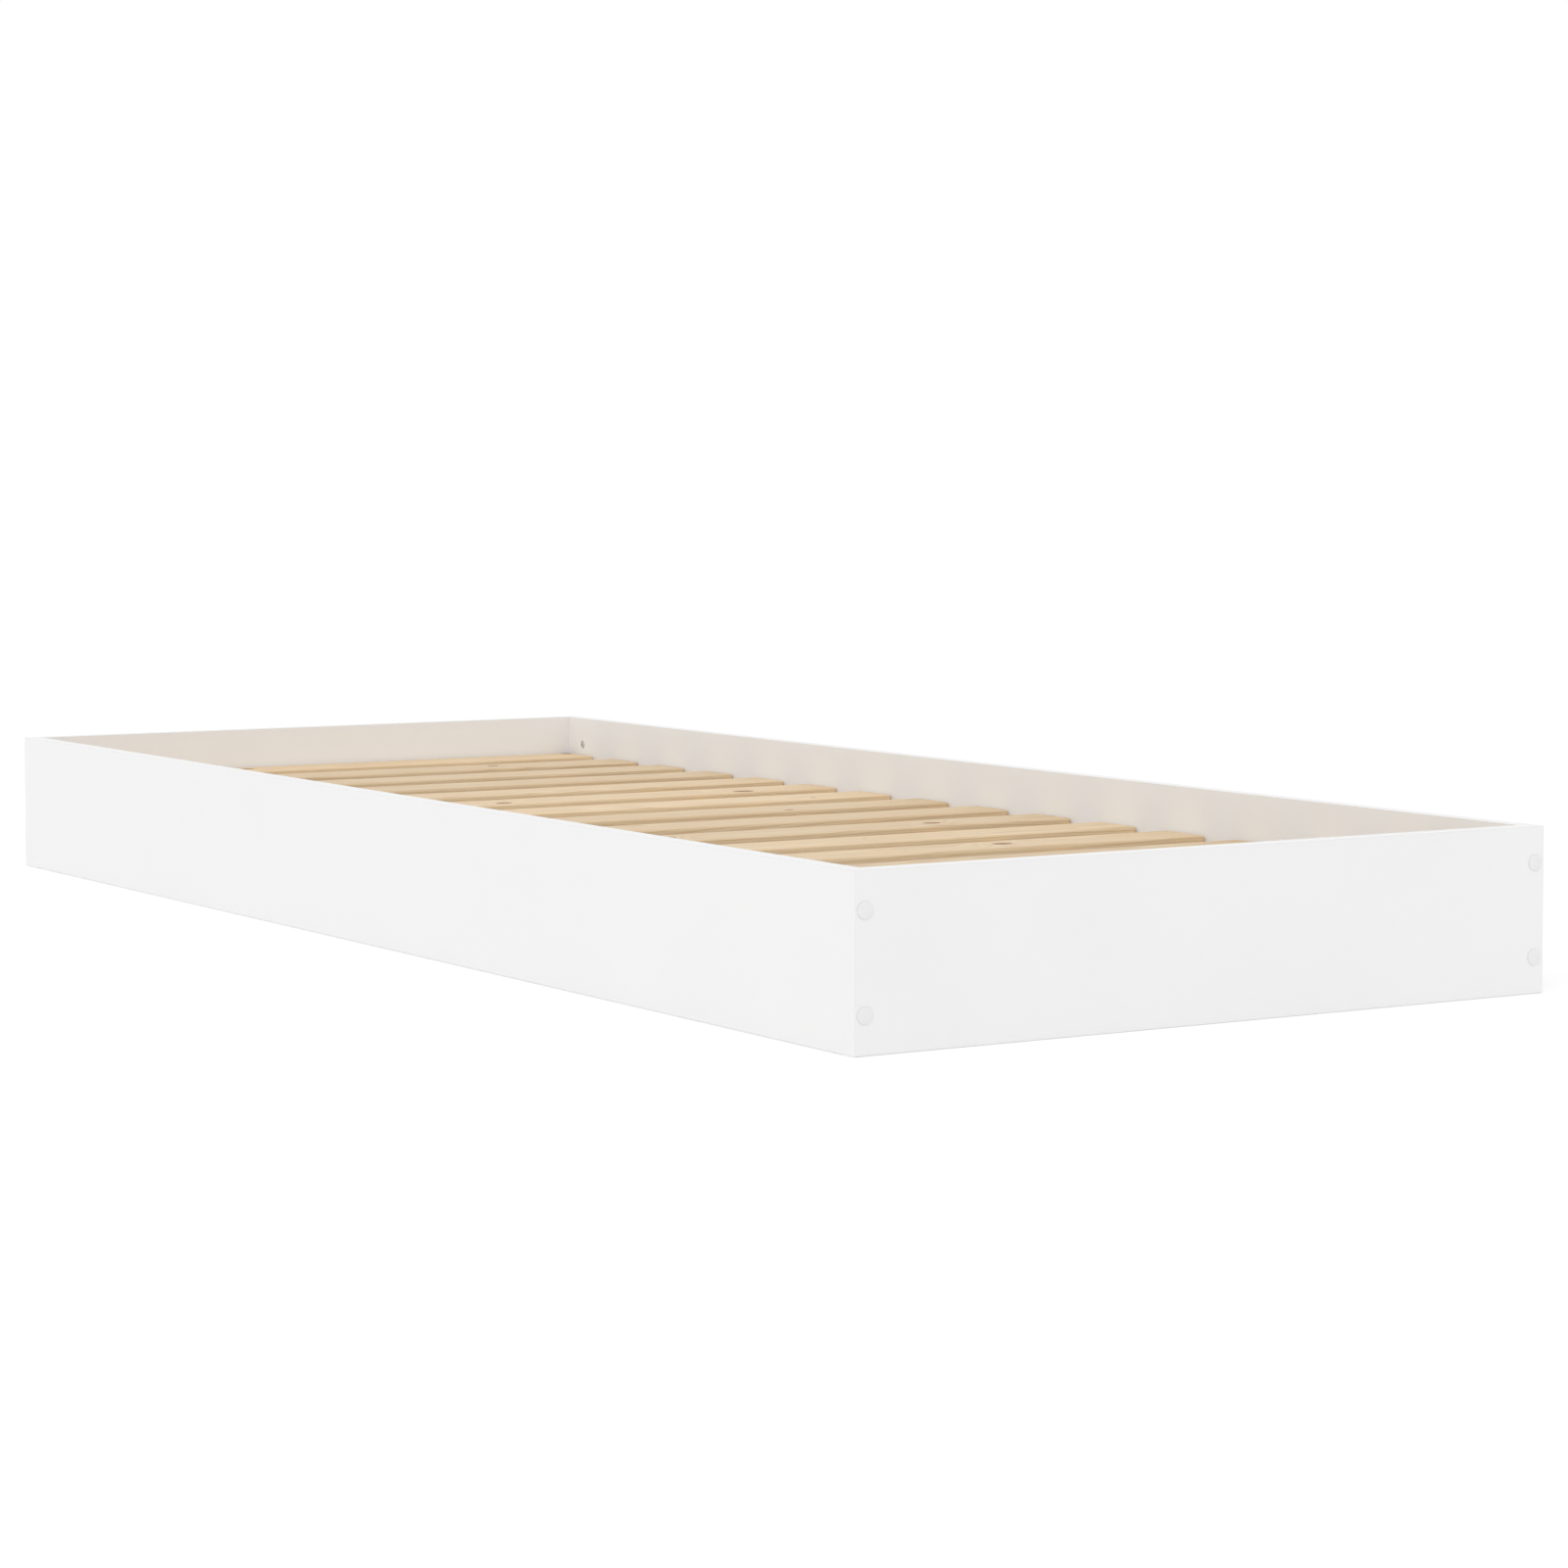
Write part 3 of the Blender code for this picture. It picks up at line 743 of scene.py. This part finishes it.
# %% Side boards: a drilled core and a band on top
board_thickness = foot_high.y - foot_low.y
side_board_reach = abs(middle("foot_board").y) - board_thickness / 2 - HAIRLINE
for side_name, side in SIDES.items():
    node = f"side_board_{side_name}"
    low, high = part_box(node)
    low.y, high.y = -side_board_reach, side_board_reach
    inner_x = low.x if side > 0 else high.x
    nuts = solids("barrel", side_name)
    tools = [drill_for(nut, 0, inner_x, side, NUT_HOLE_RADIUS, HOLE_ROOM) for nut in nuts]
    for end_name, end in ENDS.items():
        end_y = high.y if end > 0 else low.y
        for bolt in solids("bolt", end_name, side_name):
            tools.append(drill_for(bolt, 1, end_y, -end, BOLT_HOLE_RADIUS, BOLT_TIP_ROOM))
        for dowel in solids("dowel", end_name, side_name):
            tools.append(drill_for(dowel, 1, end_y, -end, DOWEL_HOLE_RADIUS, HOLE_ROOM))
    board_core(node, low, (high.x, high.y, high.z - BAND_THICKNESS - HAIRLINE), tools)
    top_low = (low.x, low.y, high.z - BAND_THICKNESS)
    board_band(f"{node}_top_band", top_low, high, [("left", "top"), ("right", "top")])
    print(node, "has", len(tools), "holes")


# %% End boards: a core with counterbored bolt holes and blind dowel holes, and three bands
def bolt_hole(cap, end, outer_y):
    """The tool that makes the hole under a cap: wide for the bolt's head, narrow for its shank."""
    profile = [
        (-HOLE_OVERRUN, COUNTERBORE_RADIUS),
        (COUNTERBORE_DEPTH, COUNTERBORE_RADIUS),
        (COUNTERBORE_DEPTH, BOLT_HOLE_RADIUS),
        (board_thickness + HOLE_OVERRUN, BOLT_HOLE_RADIUS),
    ]
    start = Vector((middle(cap).x, outer_y, middle(cap).z))
    return to_mesh("tool", turned(profile, place=pointing(start, (0, -end, 0))), chipboard)


for end_name, end in ENDS.items():
    node = f"{end_name}_board"
    low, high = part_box(node)
    inset = BAND_THICKNESS + HAIRLINE
    outer_y, inner_y = (high.y, low.y) if end > 0 else (low.y, high.y)
    dowels = solids("dowel", end_name)
    tools = [drill_for(dowel, 1, inner_y, end, DOWEL_HOLE_RADIUS, HOLE_ROOM) for dowel in dowels]
    tools += [bolt_hole(cap, end, outer_y) for cap in solids("cover_cap", end_name)]
    board_core(node, (low.x + inset, low.y, low.z), (high.x - inset, high.y, high.z - inset), tools)
    board_band(f"{node}_top_band", (low.x, low.y, high.z - BAND_THICKNESS), high, TOP_EDGES)
    for side_name, side in SIDES.items():
        outer = high.x if side > 0 else low.x
        left, right = sorted((outer, outer - side * BAND_THICKNESS))
        band_low, band_high = (left, low.y, low.z), (right, high.y, high.z - inset)
        board_band(f"{node}_{side_name}_band", band_low, band_high, [(side_name, end_name)])
    print(node, "has", len(tools), "holes")

# %% [markdown]
# ## Slats, set out by a geometry tree
#
# All slats are alike: planed pine with eased edges and a countersunk hole over each cleat. One slat is
# shaped, and a geometry tree sets out the rest. It could be done with a loop, but a tree keeps the
# rule in one place: so many slats, so far apart, each from its own tree trunk. Before the slat is
# copied, the tree notes each point's place in the plank, which the pine finish reads.

# %% Shape a slat
COUNTERSINK_RADIUS = 0.004
PILOT_RADIUS = 0.002
COUNTERSINK_DEPTH = 0.0024
PILOT_DEPTH = 0.006
SLAT_RADIUS = 0.003
LATH_SEGMENTS = 5


def countersink(start, direction):
    """The tool that sinks a screw's head."""
    flare = (COUNTERSINK_RADIUS - PILOT_RADIUS) / COUNTERSINK_DEPTH
    profile = [
        (-HOLE_OVERRUN, COUNTERSINK_RADIUS + flare * HOLE_OVERRUN),
        (COUNTERSINK_DEPTH, PILOT_RADIUS),
        (PILOT_DEPTH, PILOT_RADIUS),
    ]
    return to_mesh("tool", turned(profile, SMALL_ROUND_SIDES, pointing(start, direction)), pine)


def planed_lath(name, size, radius, holes, direction):
    """A pine lath centred on the origin, with countersunk holes in one face."""
    half = Vector(size) / 2
    mesh = to_mesh(name, block(-half, half, ALL_EDGES, radius, LATH_SEGMENTS), pine)
    return cut(name, mesh, [countersink(hole, direction) for hole in holes])


slat_low, slat_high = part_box("slat_01")
slat_size = slat_high - slat_low
cleat_places = [middle(f"cleat_foot_{side_name}").x for side_name in SIDES]
slat_holes = [Vector((x, 0, slat_size.z / 2)) for x in cleat_places]
slat_pattern = link("slat_pattern", planed_lath("slat", slat_size, SLAT_RADIUS, slat_holes, (0, 0, -1)))
print("slat in millimetres:", [round(side * 1000, 1) for side in slat_size])


# %% Helpers for geometry trees
def new_tree(name, inputs):
    """An empty geometry tree with named inputs, its start and its end."""
    tree = bpy.data.node_groups.new(name, "GeometryNodeTree")
    tree.interface.new_socket(name="Geometry", in_out="INPUT", socket_type="NodeSocketGeometry")
    for label, kind in inputs.items():
        tree.interface.new_socket(name=label, in_out="INPUT", socket_type=f"NodeSocket{kind}")
    tree.interface.new_socket(name="Geometry", in_out="OUTPUT", socket_type="NodeSocketGeometry")
    return tree, tree.nodes.new("NodeGroupInput").outputs, tree.nodes.new("NodeGroupOutput")


def end_tree(tree, end, copies, finish):
    """Makes the copies real, gives them their finish and joins them to the end of the tree."""
    real = add_node(tree, "GeometryNodeRealizeInstances", {0: copies}).outputs[0]
    done = add_node(tree, "GeometryNodeSetMaterial", {"Geometry": real, "Material": finish})
    tree.links.new(done.outputs[0], end.inputs[0])


def grow(name, tree, start_mesh, values):
    """Runs a geometry tree on a mesh and returns the plain mesh that it makes."""
    seed = link(name, start_mesh)
    modifier = seed.modifiers.new("tree", "NODES")
    modifier.node_group = tree
    for item in tree.interface.items_tree:
        if item.in_out == "INPUT" and item.name in values:
            modifier[item.identifier] = values[item.name]
    return evaluated(name, seed)


def store(tree, geometry, name, value, kind, domain):
    """Notes a value on the geometry under a name."""
    sockets = {"Geometry": geometry, "Name": name, "Value": value}
    made = add_node(tree, "GeometryNodeStoreNamedAttribute", sockets, data_type=kind, domain=domain)
    return made.outputs["Geometry"]


def chance(tree, high, seed):
    """A random number for each copy, from nought to high."""
    made = add_node(tree, "FunctionNodeRandomValue", {2: 0.0, 3: high, "Seed": seed}, data_type="FLOAT")
    return made.outputs[1]


# %% The tree that sets out slats
SLAT_TREE_NUMBERS = 10.0


def slat_row_tree():
    """Sets copies of one slat side by side."""
    tree, given, end = new_tree("slat_row", {
        "Slat": "Object", "Count": "Int", "First place": "Vector", "Pitch": "Float",
        "Seed": "Int", "Finish": "Material",
    })
    pattern = add_node(tree, "GeometryNodeObjectInfo", {"Object": given["Slat"]}).outputs["Geometry"]
    place = add_node(tree, "GeometryNodeInputPosition").outputs[0]
    pattern = store(tree, pattern, "grain_place", place, "FLOAT_VECTOR", "POINT")
    step = add_node(tree, "ShaderNodeCombineXYZ", {"Y": given["Pitch"]}).outputs[0]
    line = add_node(tree, "GeometryNodeMeshLine", {
        "Count": given["Count"], "Start Location": given["First place"], "Offset": step,
    }).outputs[0]
    row = add_node(tree, "GeometryNodeInstanceOnPoints", {"Points": line, "Instance": pattern}).outputs[0]
    trunk = chance(tree, SLAT_TREE_NUMBERS, given["Seed"])
    row = store(tree, row, "tree_number", trunk, "FLOAT", "INSTANCE")
    end_tree(tree, end, row, given["Finish"])
    return tree


# %% Set out the slats of both panels
PANEL_SEEDS = {"foot_panel": 11, "head_panel": 29}

slat_nodes = solids("slat_")
panel_slats = {
    panel: [name for name in slat_nodes if frame["nodes"][name].get("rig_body") == panel]
    for panel in PANEL_SEEDS
}
slat_tree = slat_row_tree()
for panel, members in panel_slats.items():
    pitch = (middle(members[-1]).y - middle(members[0]).y) / (len(members) - 1)
    values = {
        "Slat": slat_pattern, "Count": len(members), "First place": middle(members[0]), "Pitch": pitch,
        "Seed": PANEL_SEEDS[panel], "Finish": pine,
    }
    slats = grow(f"{panel}_slats", slat_tree, bpy.data.meshes.new("start"), values)
    add_to_bed(f"{panel}_slats", slats, panel, "pine", *members)
    print(panel, "has", len(members), "slats,", round(pitch * 1000, 1), "mm apart")
bpy.data.objects.remove(slat_pattern)

# %% [markdown]
# ## Cleats and ledges
#
# The other laths run along the bed. They are shaped lying along +X, like a slat, so that the same pine
# finish reads their grain, and are then turned to lie along the bed. Each has its own tree number.

# %% Helper that lays a lath along the bed
LATH_RADIUS = 0.002
LENGTHWAYS = Matrix.Rotation(math.pi / 2, 4, "Z")
TREE_NUMBERS = {
    "cleat_foot_left": 3.0, "cleat_foot_right": 3.37, "cleat_head_left": 5.0, "cleat_head_right": 5.37,
    "ledge_left": 6.59, "ledge_right": 8.01,
}


def note_grain(mesh, number):
    """Notes each point's place in the plank, and the tree that the plank came from."""
    mesh.attributes.new("grain_place", "FLOAT_VECTOR", "POINT")
    mesh.attributes.new("tree_number", "FLOAT", "POINT")
    places, numbers = mesh.attributes["grain_place"], mesh.attributes["tree_number"]
    for vertex in mesh.vertices:
        places.data[vertex.index].vector = vertex.co
        numbers.data[vertex.index].value = number


def lengthways(node, body, holes=(), direction=(0, 0, -1)):
    """A lath in the place of a solid that runs along the bed. Its holes are given on the lying lath."""
    low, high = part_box(node)
    size = high - low
    lath = planed_lath(node, (size.y, size.x, size.z), LATH_RADIUS, holes, direction)
    note_grain(lath, TREE_NUMBERS[node])
    lath.transform(Matrix.Translation(middle(node)) @ LENGTHWAYS)
    add_to_bed(f"{node}_planed", lath, body, "pine", node)
    print(node, "is", round(size.y, 3), "m long and has", len(holes), "screw holes")


# %% Cleats under the slats
for end_name in ENDS:
    for side_name in SIDES:
        lengthways(f"cleat_{end_name}_{side_name}", f"{end_name}_panel")

# %% Ledges along the side boards
LEDGE_SCREWS = 7
LEDGE_SCREW_END_DISTANCE = 0.060

ledge_screw_places = []
for side_name, side in SIDES.items():
    node = f"ledge_{side_name}"
    low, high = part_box(node)
    reach = (high.y - low.y) / 2 - LEDGE_SCREW_END_DISTANCE
    steps = [2 * number / (LEDGE_SCREWS - 1) - 1 for number in range(LEDGE_SCREWS)]
    half_width = (high.x - low.x) / 2
    holes = [Vector((step * reach, side * half_width, 0)) for step in steps]
    lengthways(node, BOARD_BODY, holes, (0, -side, 0))
    inner_x = low.x if side > 0 else high.x
    for step in steps:
        start = Vector((inner_x, step * reach, middle(node).z))
        ledge_screw_places.append((start, Vector((-side, 0, 0))))
print("screws in the ledges:", len(ledge_screw_places))

# %% [markdown]
# ## Screws, caps and barrel nuts
#
# Small metal and plastic parts repeat too: one is shaped with care, and a second geometry tree stands
# a copy at each place. The places are loose points, and each carries the direction that its part
# faces. Screws are also turned by chance about their own axis, because nobody drives forty-six screws
# to the same quarter turn, while the slot of a barrel nut always lies along its bolt.


# %% The tree that stands fittings at their places
def fittings_tree():
    """Stands a copy of a fitting at each point, facing the way that the point says."""
    tree, given, end = new_tree("fittings", {
        "Fitting": "Object", "Turn": "Float", "Seed": "Int", "Finish": "Material",
    })
    fitting = add_node(tree, "GeometryNodeObjectInfo", {"Object": given["Fitting"]}).outputs["Geometry"]
    faces = add_node(tree, "GeometryNodeInputNamedAttribute", {"Name": "faces"}, data_type="FLOAT_VECTOR")
    upright = add_node(
        tree, "FunctionNodeAlignRotationToVector", {"Vector": faces.outputs[0]}, axis="Z",
    ).outputs[0]
    level = add_node(
        tree, "FunctionNodeAlignRotationToVector", {"Rotation": upright, "Vector": (0.0, 1.0, 0.0)},
        axis="X", pivot_axis="Z",
    ).outputs[0]
    angle = times(tree, chance(tree, 1.0, given["Seed"]), given["Turn"])
    spin = add_node(tree, "FunctionNodeAxisAngleToRotation", {"Axis": (0.0, 0.0, 1.0), "Angle": angle})
    rotation = add_node(
        tree, "FunctionNodeRotateRotation", {"Rotation": level, "Rotate By": spin.outputs[0]},
        rotation_space="LOCAL",
    ).outputs[0]
    copies = add_node(tree, "GeometryNodeInstanceOnPoints", {
        "Points": given["Geometry"], "Instance": fitting, "Rotation": rotation,
    }).outputs[0]
    end_tree(tree, end, copies, given["Finish"])
    return tree


# %% Helpers that stand fittings
FITTING_SEED = 5
FULL_TURN = 2 * math.pi

fitting_tree = fittings_tree()


def place_points(places):
    """Loose points that carry the direction that a fitting faces."""
    mesh = bpy.data.meshes.new("places")
    mesh.from_pydata([place for place, _ in places], [], [])
    faces = mesh.attributes.new("faces", "FLOAT_VECTOR", "POINT")
    for number, (_, direction) in enumerate(places):
        faces.data[number].vector = direction
    return mesh


def stand_fittings(name, pattern, places, finish, body, slot, nodes=(), turn=0.0):
    """Stands a pattern at all its places, as one piece of a body."""
    values = {"Fitting": pattern, "Turn": turn, "Seed": FITTING_SEED, "Finish": finish}
    mesh = grow(name, fitting_tree, place_points(places), values)
    piece = add_to_bed(name, mesh, body, slot, *nodes)
    print(name, "holds", len(places), "copies and", len(piece.data.polygons), "faces")


# %% Shape a screw: a countersunk head with a crosswise recess
HEAD_RADIUS = 0.0038
HEAD_RIM = 0.0003
HEAD_DEPTH = 0.0022
HEAD_SUNK = 0.0002
SCREW_SHANK = 0.0018
SCREW_LENGTH = 0.0056
SCREW_TIP_SHARE = 0.8
RECESS_ARM = 0.0042
RECESS_WIDTH = 0.0008
RECESS_DEPTH = 0.0013
RECESS_FLOOR_SHARE = 0.6


def screw_pattern():
    """A screw whose head's top lies a little under the wood. Its +Z points out of the wood."""
    profile = [
        (-SCREW_LENGTH, SCREW_SHANK * SCREW_TIP_SHARE),
        (-HEAD_DEPTH - HEAD_SUNK, SCREW_SHANK),
        (-HEAD_RIM - HEAD_SUNK, HEAD_RADIUS),
        (-HEAD_SUNK - HEAD_RIM / 2, HEAD_RADIUS),
        (-HEAD_SUNK, HEAD_RADIUS - HEAD_RIM / 2),
    ]
    mesh = to_mesh("screw", turned(profile, SMALL_ROUND_SIDES), zinc)
    tools = []
    for long, short in ((RECESS_ARM, RECESS_WIDTH), (RECESS_WIDTH, RECESS_ARM)):
        floor = -RECESS_DEPTH - HEAD_SUNK
        tool = block((-long / 2, -short / 2, floor), (long / 2, short / 2, HEAD_DEPTH))
        for vertex in tool.verts:
            if vertex.co.z < 0:
                vertex.co.x *= RECESS_FLOOR_SHARE
                vertex.co.y *= RECESS_FLOOR_SHARE
        tools.append(to_mesh("tool", tool, zinc))
    return link("screw_pattern", cut("screw", mesh, tools))


screw = screw_pattern()
stand_fittings("ledge_screws", screw, ledge_screw_places, zinc, BOARD_BODY, "zinc_plate", turn=FULL_TURN)
for panel, members in panel_slats.items():
    starts = [Vector((x, middle(name).y, slat_high.z)) for name in members for x in cleat_places]
    places = [(start, Vector((0, 0, 1))) for start in starts]
    stand_fittings(f"{panel}_screws", screw, places, zinc, panel, "zinc_plate", turn=FULL_TURN)
bpy.data.objects.remove(screw)

# %% Shape a cover cap: a shallow dome with a rounded rim and a hollow stem
CAP_WALL = 0.0012
CAP_SEAT = 0.0003
CAP_RIM_RADIUS = 0.0005
RIM_FOOT_SHARE = 0.55
RIM_DROP_SHARE = 0.8
DOME_STEPS = 10

cap_low, cap_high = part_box("cover_cap_foot_left_low")
cap_radius = (cap_high.x - cap_low.x) / 2
cap_proud = foot_low.y - cap_low.y
cap_stem = cap_high.y - foot_low.y


def cap_pattern():
    """A cap whose +Z points out of the board, from the board's face."""
    stem = COUNTERBORE_RADIUS - CAP_SEAT
    inner = stem - CAP_WALL
    profile = [
        (CAP_SEAT, inner), (-cap_stem, inner), (-cap_stem, stem), (CAP_SEAT, stem), (CAP_SEAT, cap_radius),
    ]
    edge = cap_radius - CAP_RIM_RADIUS
    rim_foot = cap_proud * RIM_FOOT_SHARE
    rim_top = cap_proud - CAP_RIM_RADIUS * RIM_DROP_SHARE
    for step in range(DOME_STEPS + 1):
        angle = math.pi / 2 * step / DOME_STEPS
        height = rim_foot + (rim_top - rim_foot) * math.sin(angle)
        profile.append((height, edge + CAP_RIM_RADIUS * math.cos(angle)))
    for step in range(1, DOME_STEPS):
        share = step / DOME_STEPS
        height = rim_top + (cap_proud - rim_top) * math.sin(math.pi / 2 * share)
        profile.append((height, edge * (1 - share)))
    return link("cap_pattern", to_mesh("cap", turned(profile), cap_plastic))


cap = cap_pattern()
cap_nodes = solids("cover_cap")
cap_places = []
for name in cap_nodes:
    end = ENDS["foot" if "_foot_" in name else "head"]
    start = Vector((middle(name).x, end * abs(foot_low.y), middle(name).z))
    cap_places.append((start, Vector((0, end, 0))))
stand_fittings("cover_caps", cap, cap_places, cap_plastic, BOARD_BODY, "cap_plastic", cap_nodes)
bpy.data.objects.remove(cap)

# %% Shape a barrel nut: a slotted end flush with the board
NUT_CHAMFER = 0.0004
NUT_SLOT_WIDTH = 0.0012
NUT_SLOT_DEPTH = 0.0012
NUT_THREAD_RADIUS = 0.0033

nut_low, nut_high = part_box("barrel_nut_foot_left_low")
nut_length = nut_high.x - nut_low.x
nut_radius = (nut_high.z - nut_low.z) / 2


def nut_pattern():
    """A nut whose +Z points out of the board. Its slot and its thread lie along X."""
    profile = [
        (-nut_length, nut_radius - NUT_CHAMFER),
        (NUT_CHAMFER - nut_length, nut_radius),
        (-NUT_CHAMFER, nut_radius),
        (0, nut_radius - NUT_CHAMFER),
    ]
    mesh = to_mesh("nut", turned(profile), zinc)
    half = NUT_SLOT_WIDTH / 2
    slot = block((-nut_length, -half, -NUT_SLOT_DEPTH), (nut_length, half, NUT_SLOT_DEPTH))
    through = pointing(Vector((-nut_length, 0, -nut_length / 2)), (1, 0, 0))
    thread = [(0, NUT_THREAD_RADIUS), (2 * nut_length, NUT_THREAD_RADIUS)]
    thread = turned(thread, SMALL_ROUND_SIDES, through)
    tools = [to_mesh("tool", slot, zinc), to_mesh("tool", thread, zinc)]
    return link("nut_pattern", cut("nut", mesh, tools))


nut = nut_pattern()
nut_nodes = solids("barrel_nut")
nut_places = []
for name in nut_nodes:
    side = SIDES["left" if "_left_" in name else "right"]
    low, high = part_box(name)
    inner_x = low.x if side > 0 else high.x
    nut_places.append((Vector((inner_x, middle(name).y, middle(name).z)), Vector((-side, 0, 0))))
stand_fittings("barrel_nuts", nut, nut_places, zinc, BOARD_BODY, "zinc_plate", nut_nodes)
bpy.data.objects.remove(nut)

# %% [markdown]
# ## Floor and light
#
# The photograph has a white ground and very even light: the long side is only a little lighter than
# the foot, and the upper edges are a little lighter again. A white room does most of this, and so the
# world gives most of the light here. One wide distant lamp in front, on the left, tips the balance. A
# near lamp would do it too, but would leave one end of the long side darker. The ground is white
# because part of its brightness shows to the camera alone. That part throws no light on the bed, and
# the rest still darkens where the bed keeps the light away.

# %% Floor that is white to the camera and keeps the shadow
FLOOR_SIZE = 60
FLOOR_DROP = 0.0003
FLOOR_GLOW = 0.36
FLOOR_WHITE = 0.68
FLOOR_BOUNCE = 0.90


def seen_directly(tree):
    """One where a ray comes from the camera, or by way of a mirror or glass."""
    path = add_node(tree, "ShaderNodeLightPath").outputs
    either = calculate(tree, "MAXIMUM", path["Is Camera Ray"], path["Is Glossy Ray"])
    return calculate(tree, "MAXIMUM", either, path["Is Transmission Ray"])


def matt_share(tree, level):
    """A matt grey surface."""
    return add_node(tree, "ShaderNodeBsdfDiffuse", {"Color": (level, level, level, 1.0)}).outputs[0]


def floor_finish():
    """Pale floor: a matt share that takes shadows and a share that glows to the camera."""
    material, tree, shader = new_finish("pale_floor")
    tree.nodes.remove(shader)
    glow = add_node(tree, "ShaderNodeEmission", {"Strength": FLOOR_GLOW}).outputs[0]
    shown = add_node(tree, "ShaderNodeAddShader", {0: matt_share(tree, FLOOR_WHITE), 1: glow}).outputs[0]
    either = add_node(tree, "ShaderNodeMixShader", {
        0: seen_directly(tree), 1: matt_share(tree, FLOOR_BOUNCE), 2: shown,
    })
    tree.links.new(either.outputs[0], tree.nodes["Material Output"].inputs["Surface"])
    return material


half = FLOOR_SIZE / 2
corners = [(x, y, -FLOOR_DROP) for x, y in ((-half, -half), (half, -half), (half, half), (-half, half))]
floor_mesh = bpy.data.meshes.new("floor")
floor_mesh.from_pydata(corners, [], [(0, 1, 2, 3)])
floor_mesh.materials.append(floor_finish())
link("floor", floor_mesh)
print("floor side in metres:", FLOOR_SIZE)

# %% World and lamp
WORLD_FILL = 0.90
LAMP_STRENGTH = 0.58
LAMP_WIDTH = 50
LAMP_PLACE = (-6.4, -5.0, 5.8)


def white_world():
    """White to the camera, and a softer white to everything else."""
    world = bpy.data.worlds.new("studio")
    world.use_nodes = True
    tree = world.node_tree
    background = tree.nodes["Background"]
    background.inputs["Color"].default_value = (1.0, 1.0, 1.0, 1.0)
    strength = spread(tree, seen_directly(tree), WORLD_FILL, 1.0, 0.0, 1.0)
    tree.links.new(strength, background.inputs["Strength"])
    bpy.context.scene.world = world


def distant_lamp(place):
    """A wide soft lamp, so far away that it lights both ends of the bed alike."""
    lamp = bpy.data.objects.new("distant_lamp", bpy.data.lights.new("distant_lamp", "SUN"))
    bpy.context.scene.collection.objects.link(lamp)
    lamp.data.angle = math.radians(LAMP_WIDTH)
    lamp.data.energy = LAMP_STRENGTH
    lamp.location = place
    lamp.rotation_euler = Vector(place).to_track_quat("Z", "Y").to_euler()


white_world()
distant_lamp(LAMP_PLACE)
bpy.context.scene.view_settings.view_transform = "Standard"
print("light of the world:", WORLD_FILL, "and of the lamp:", LAMP_STRENGTH)
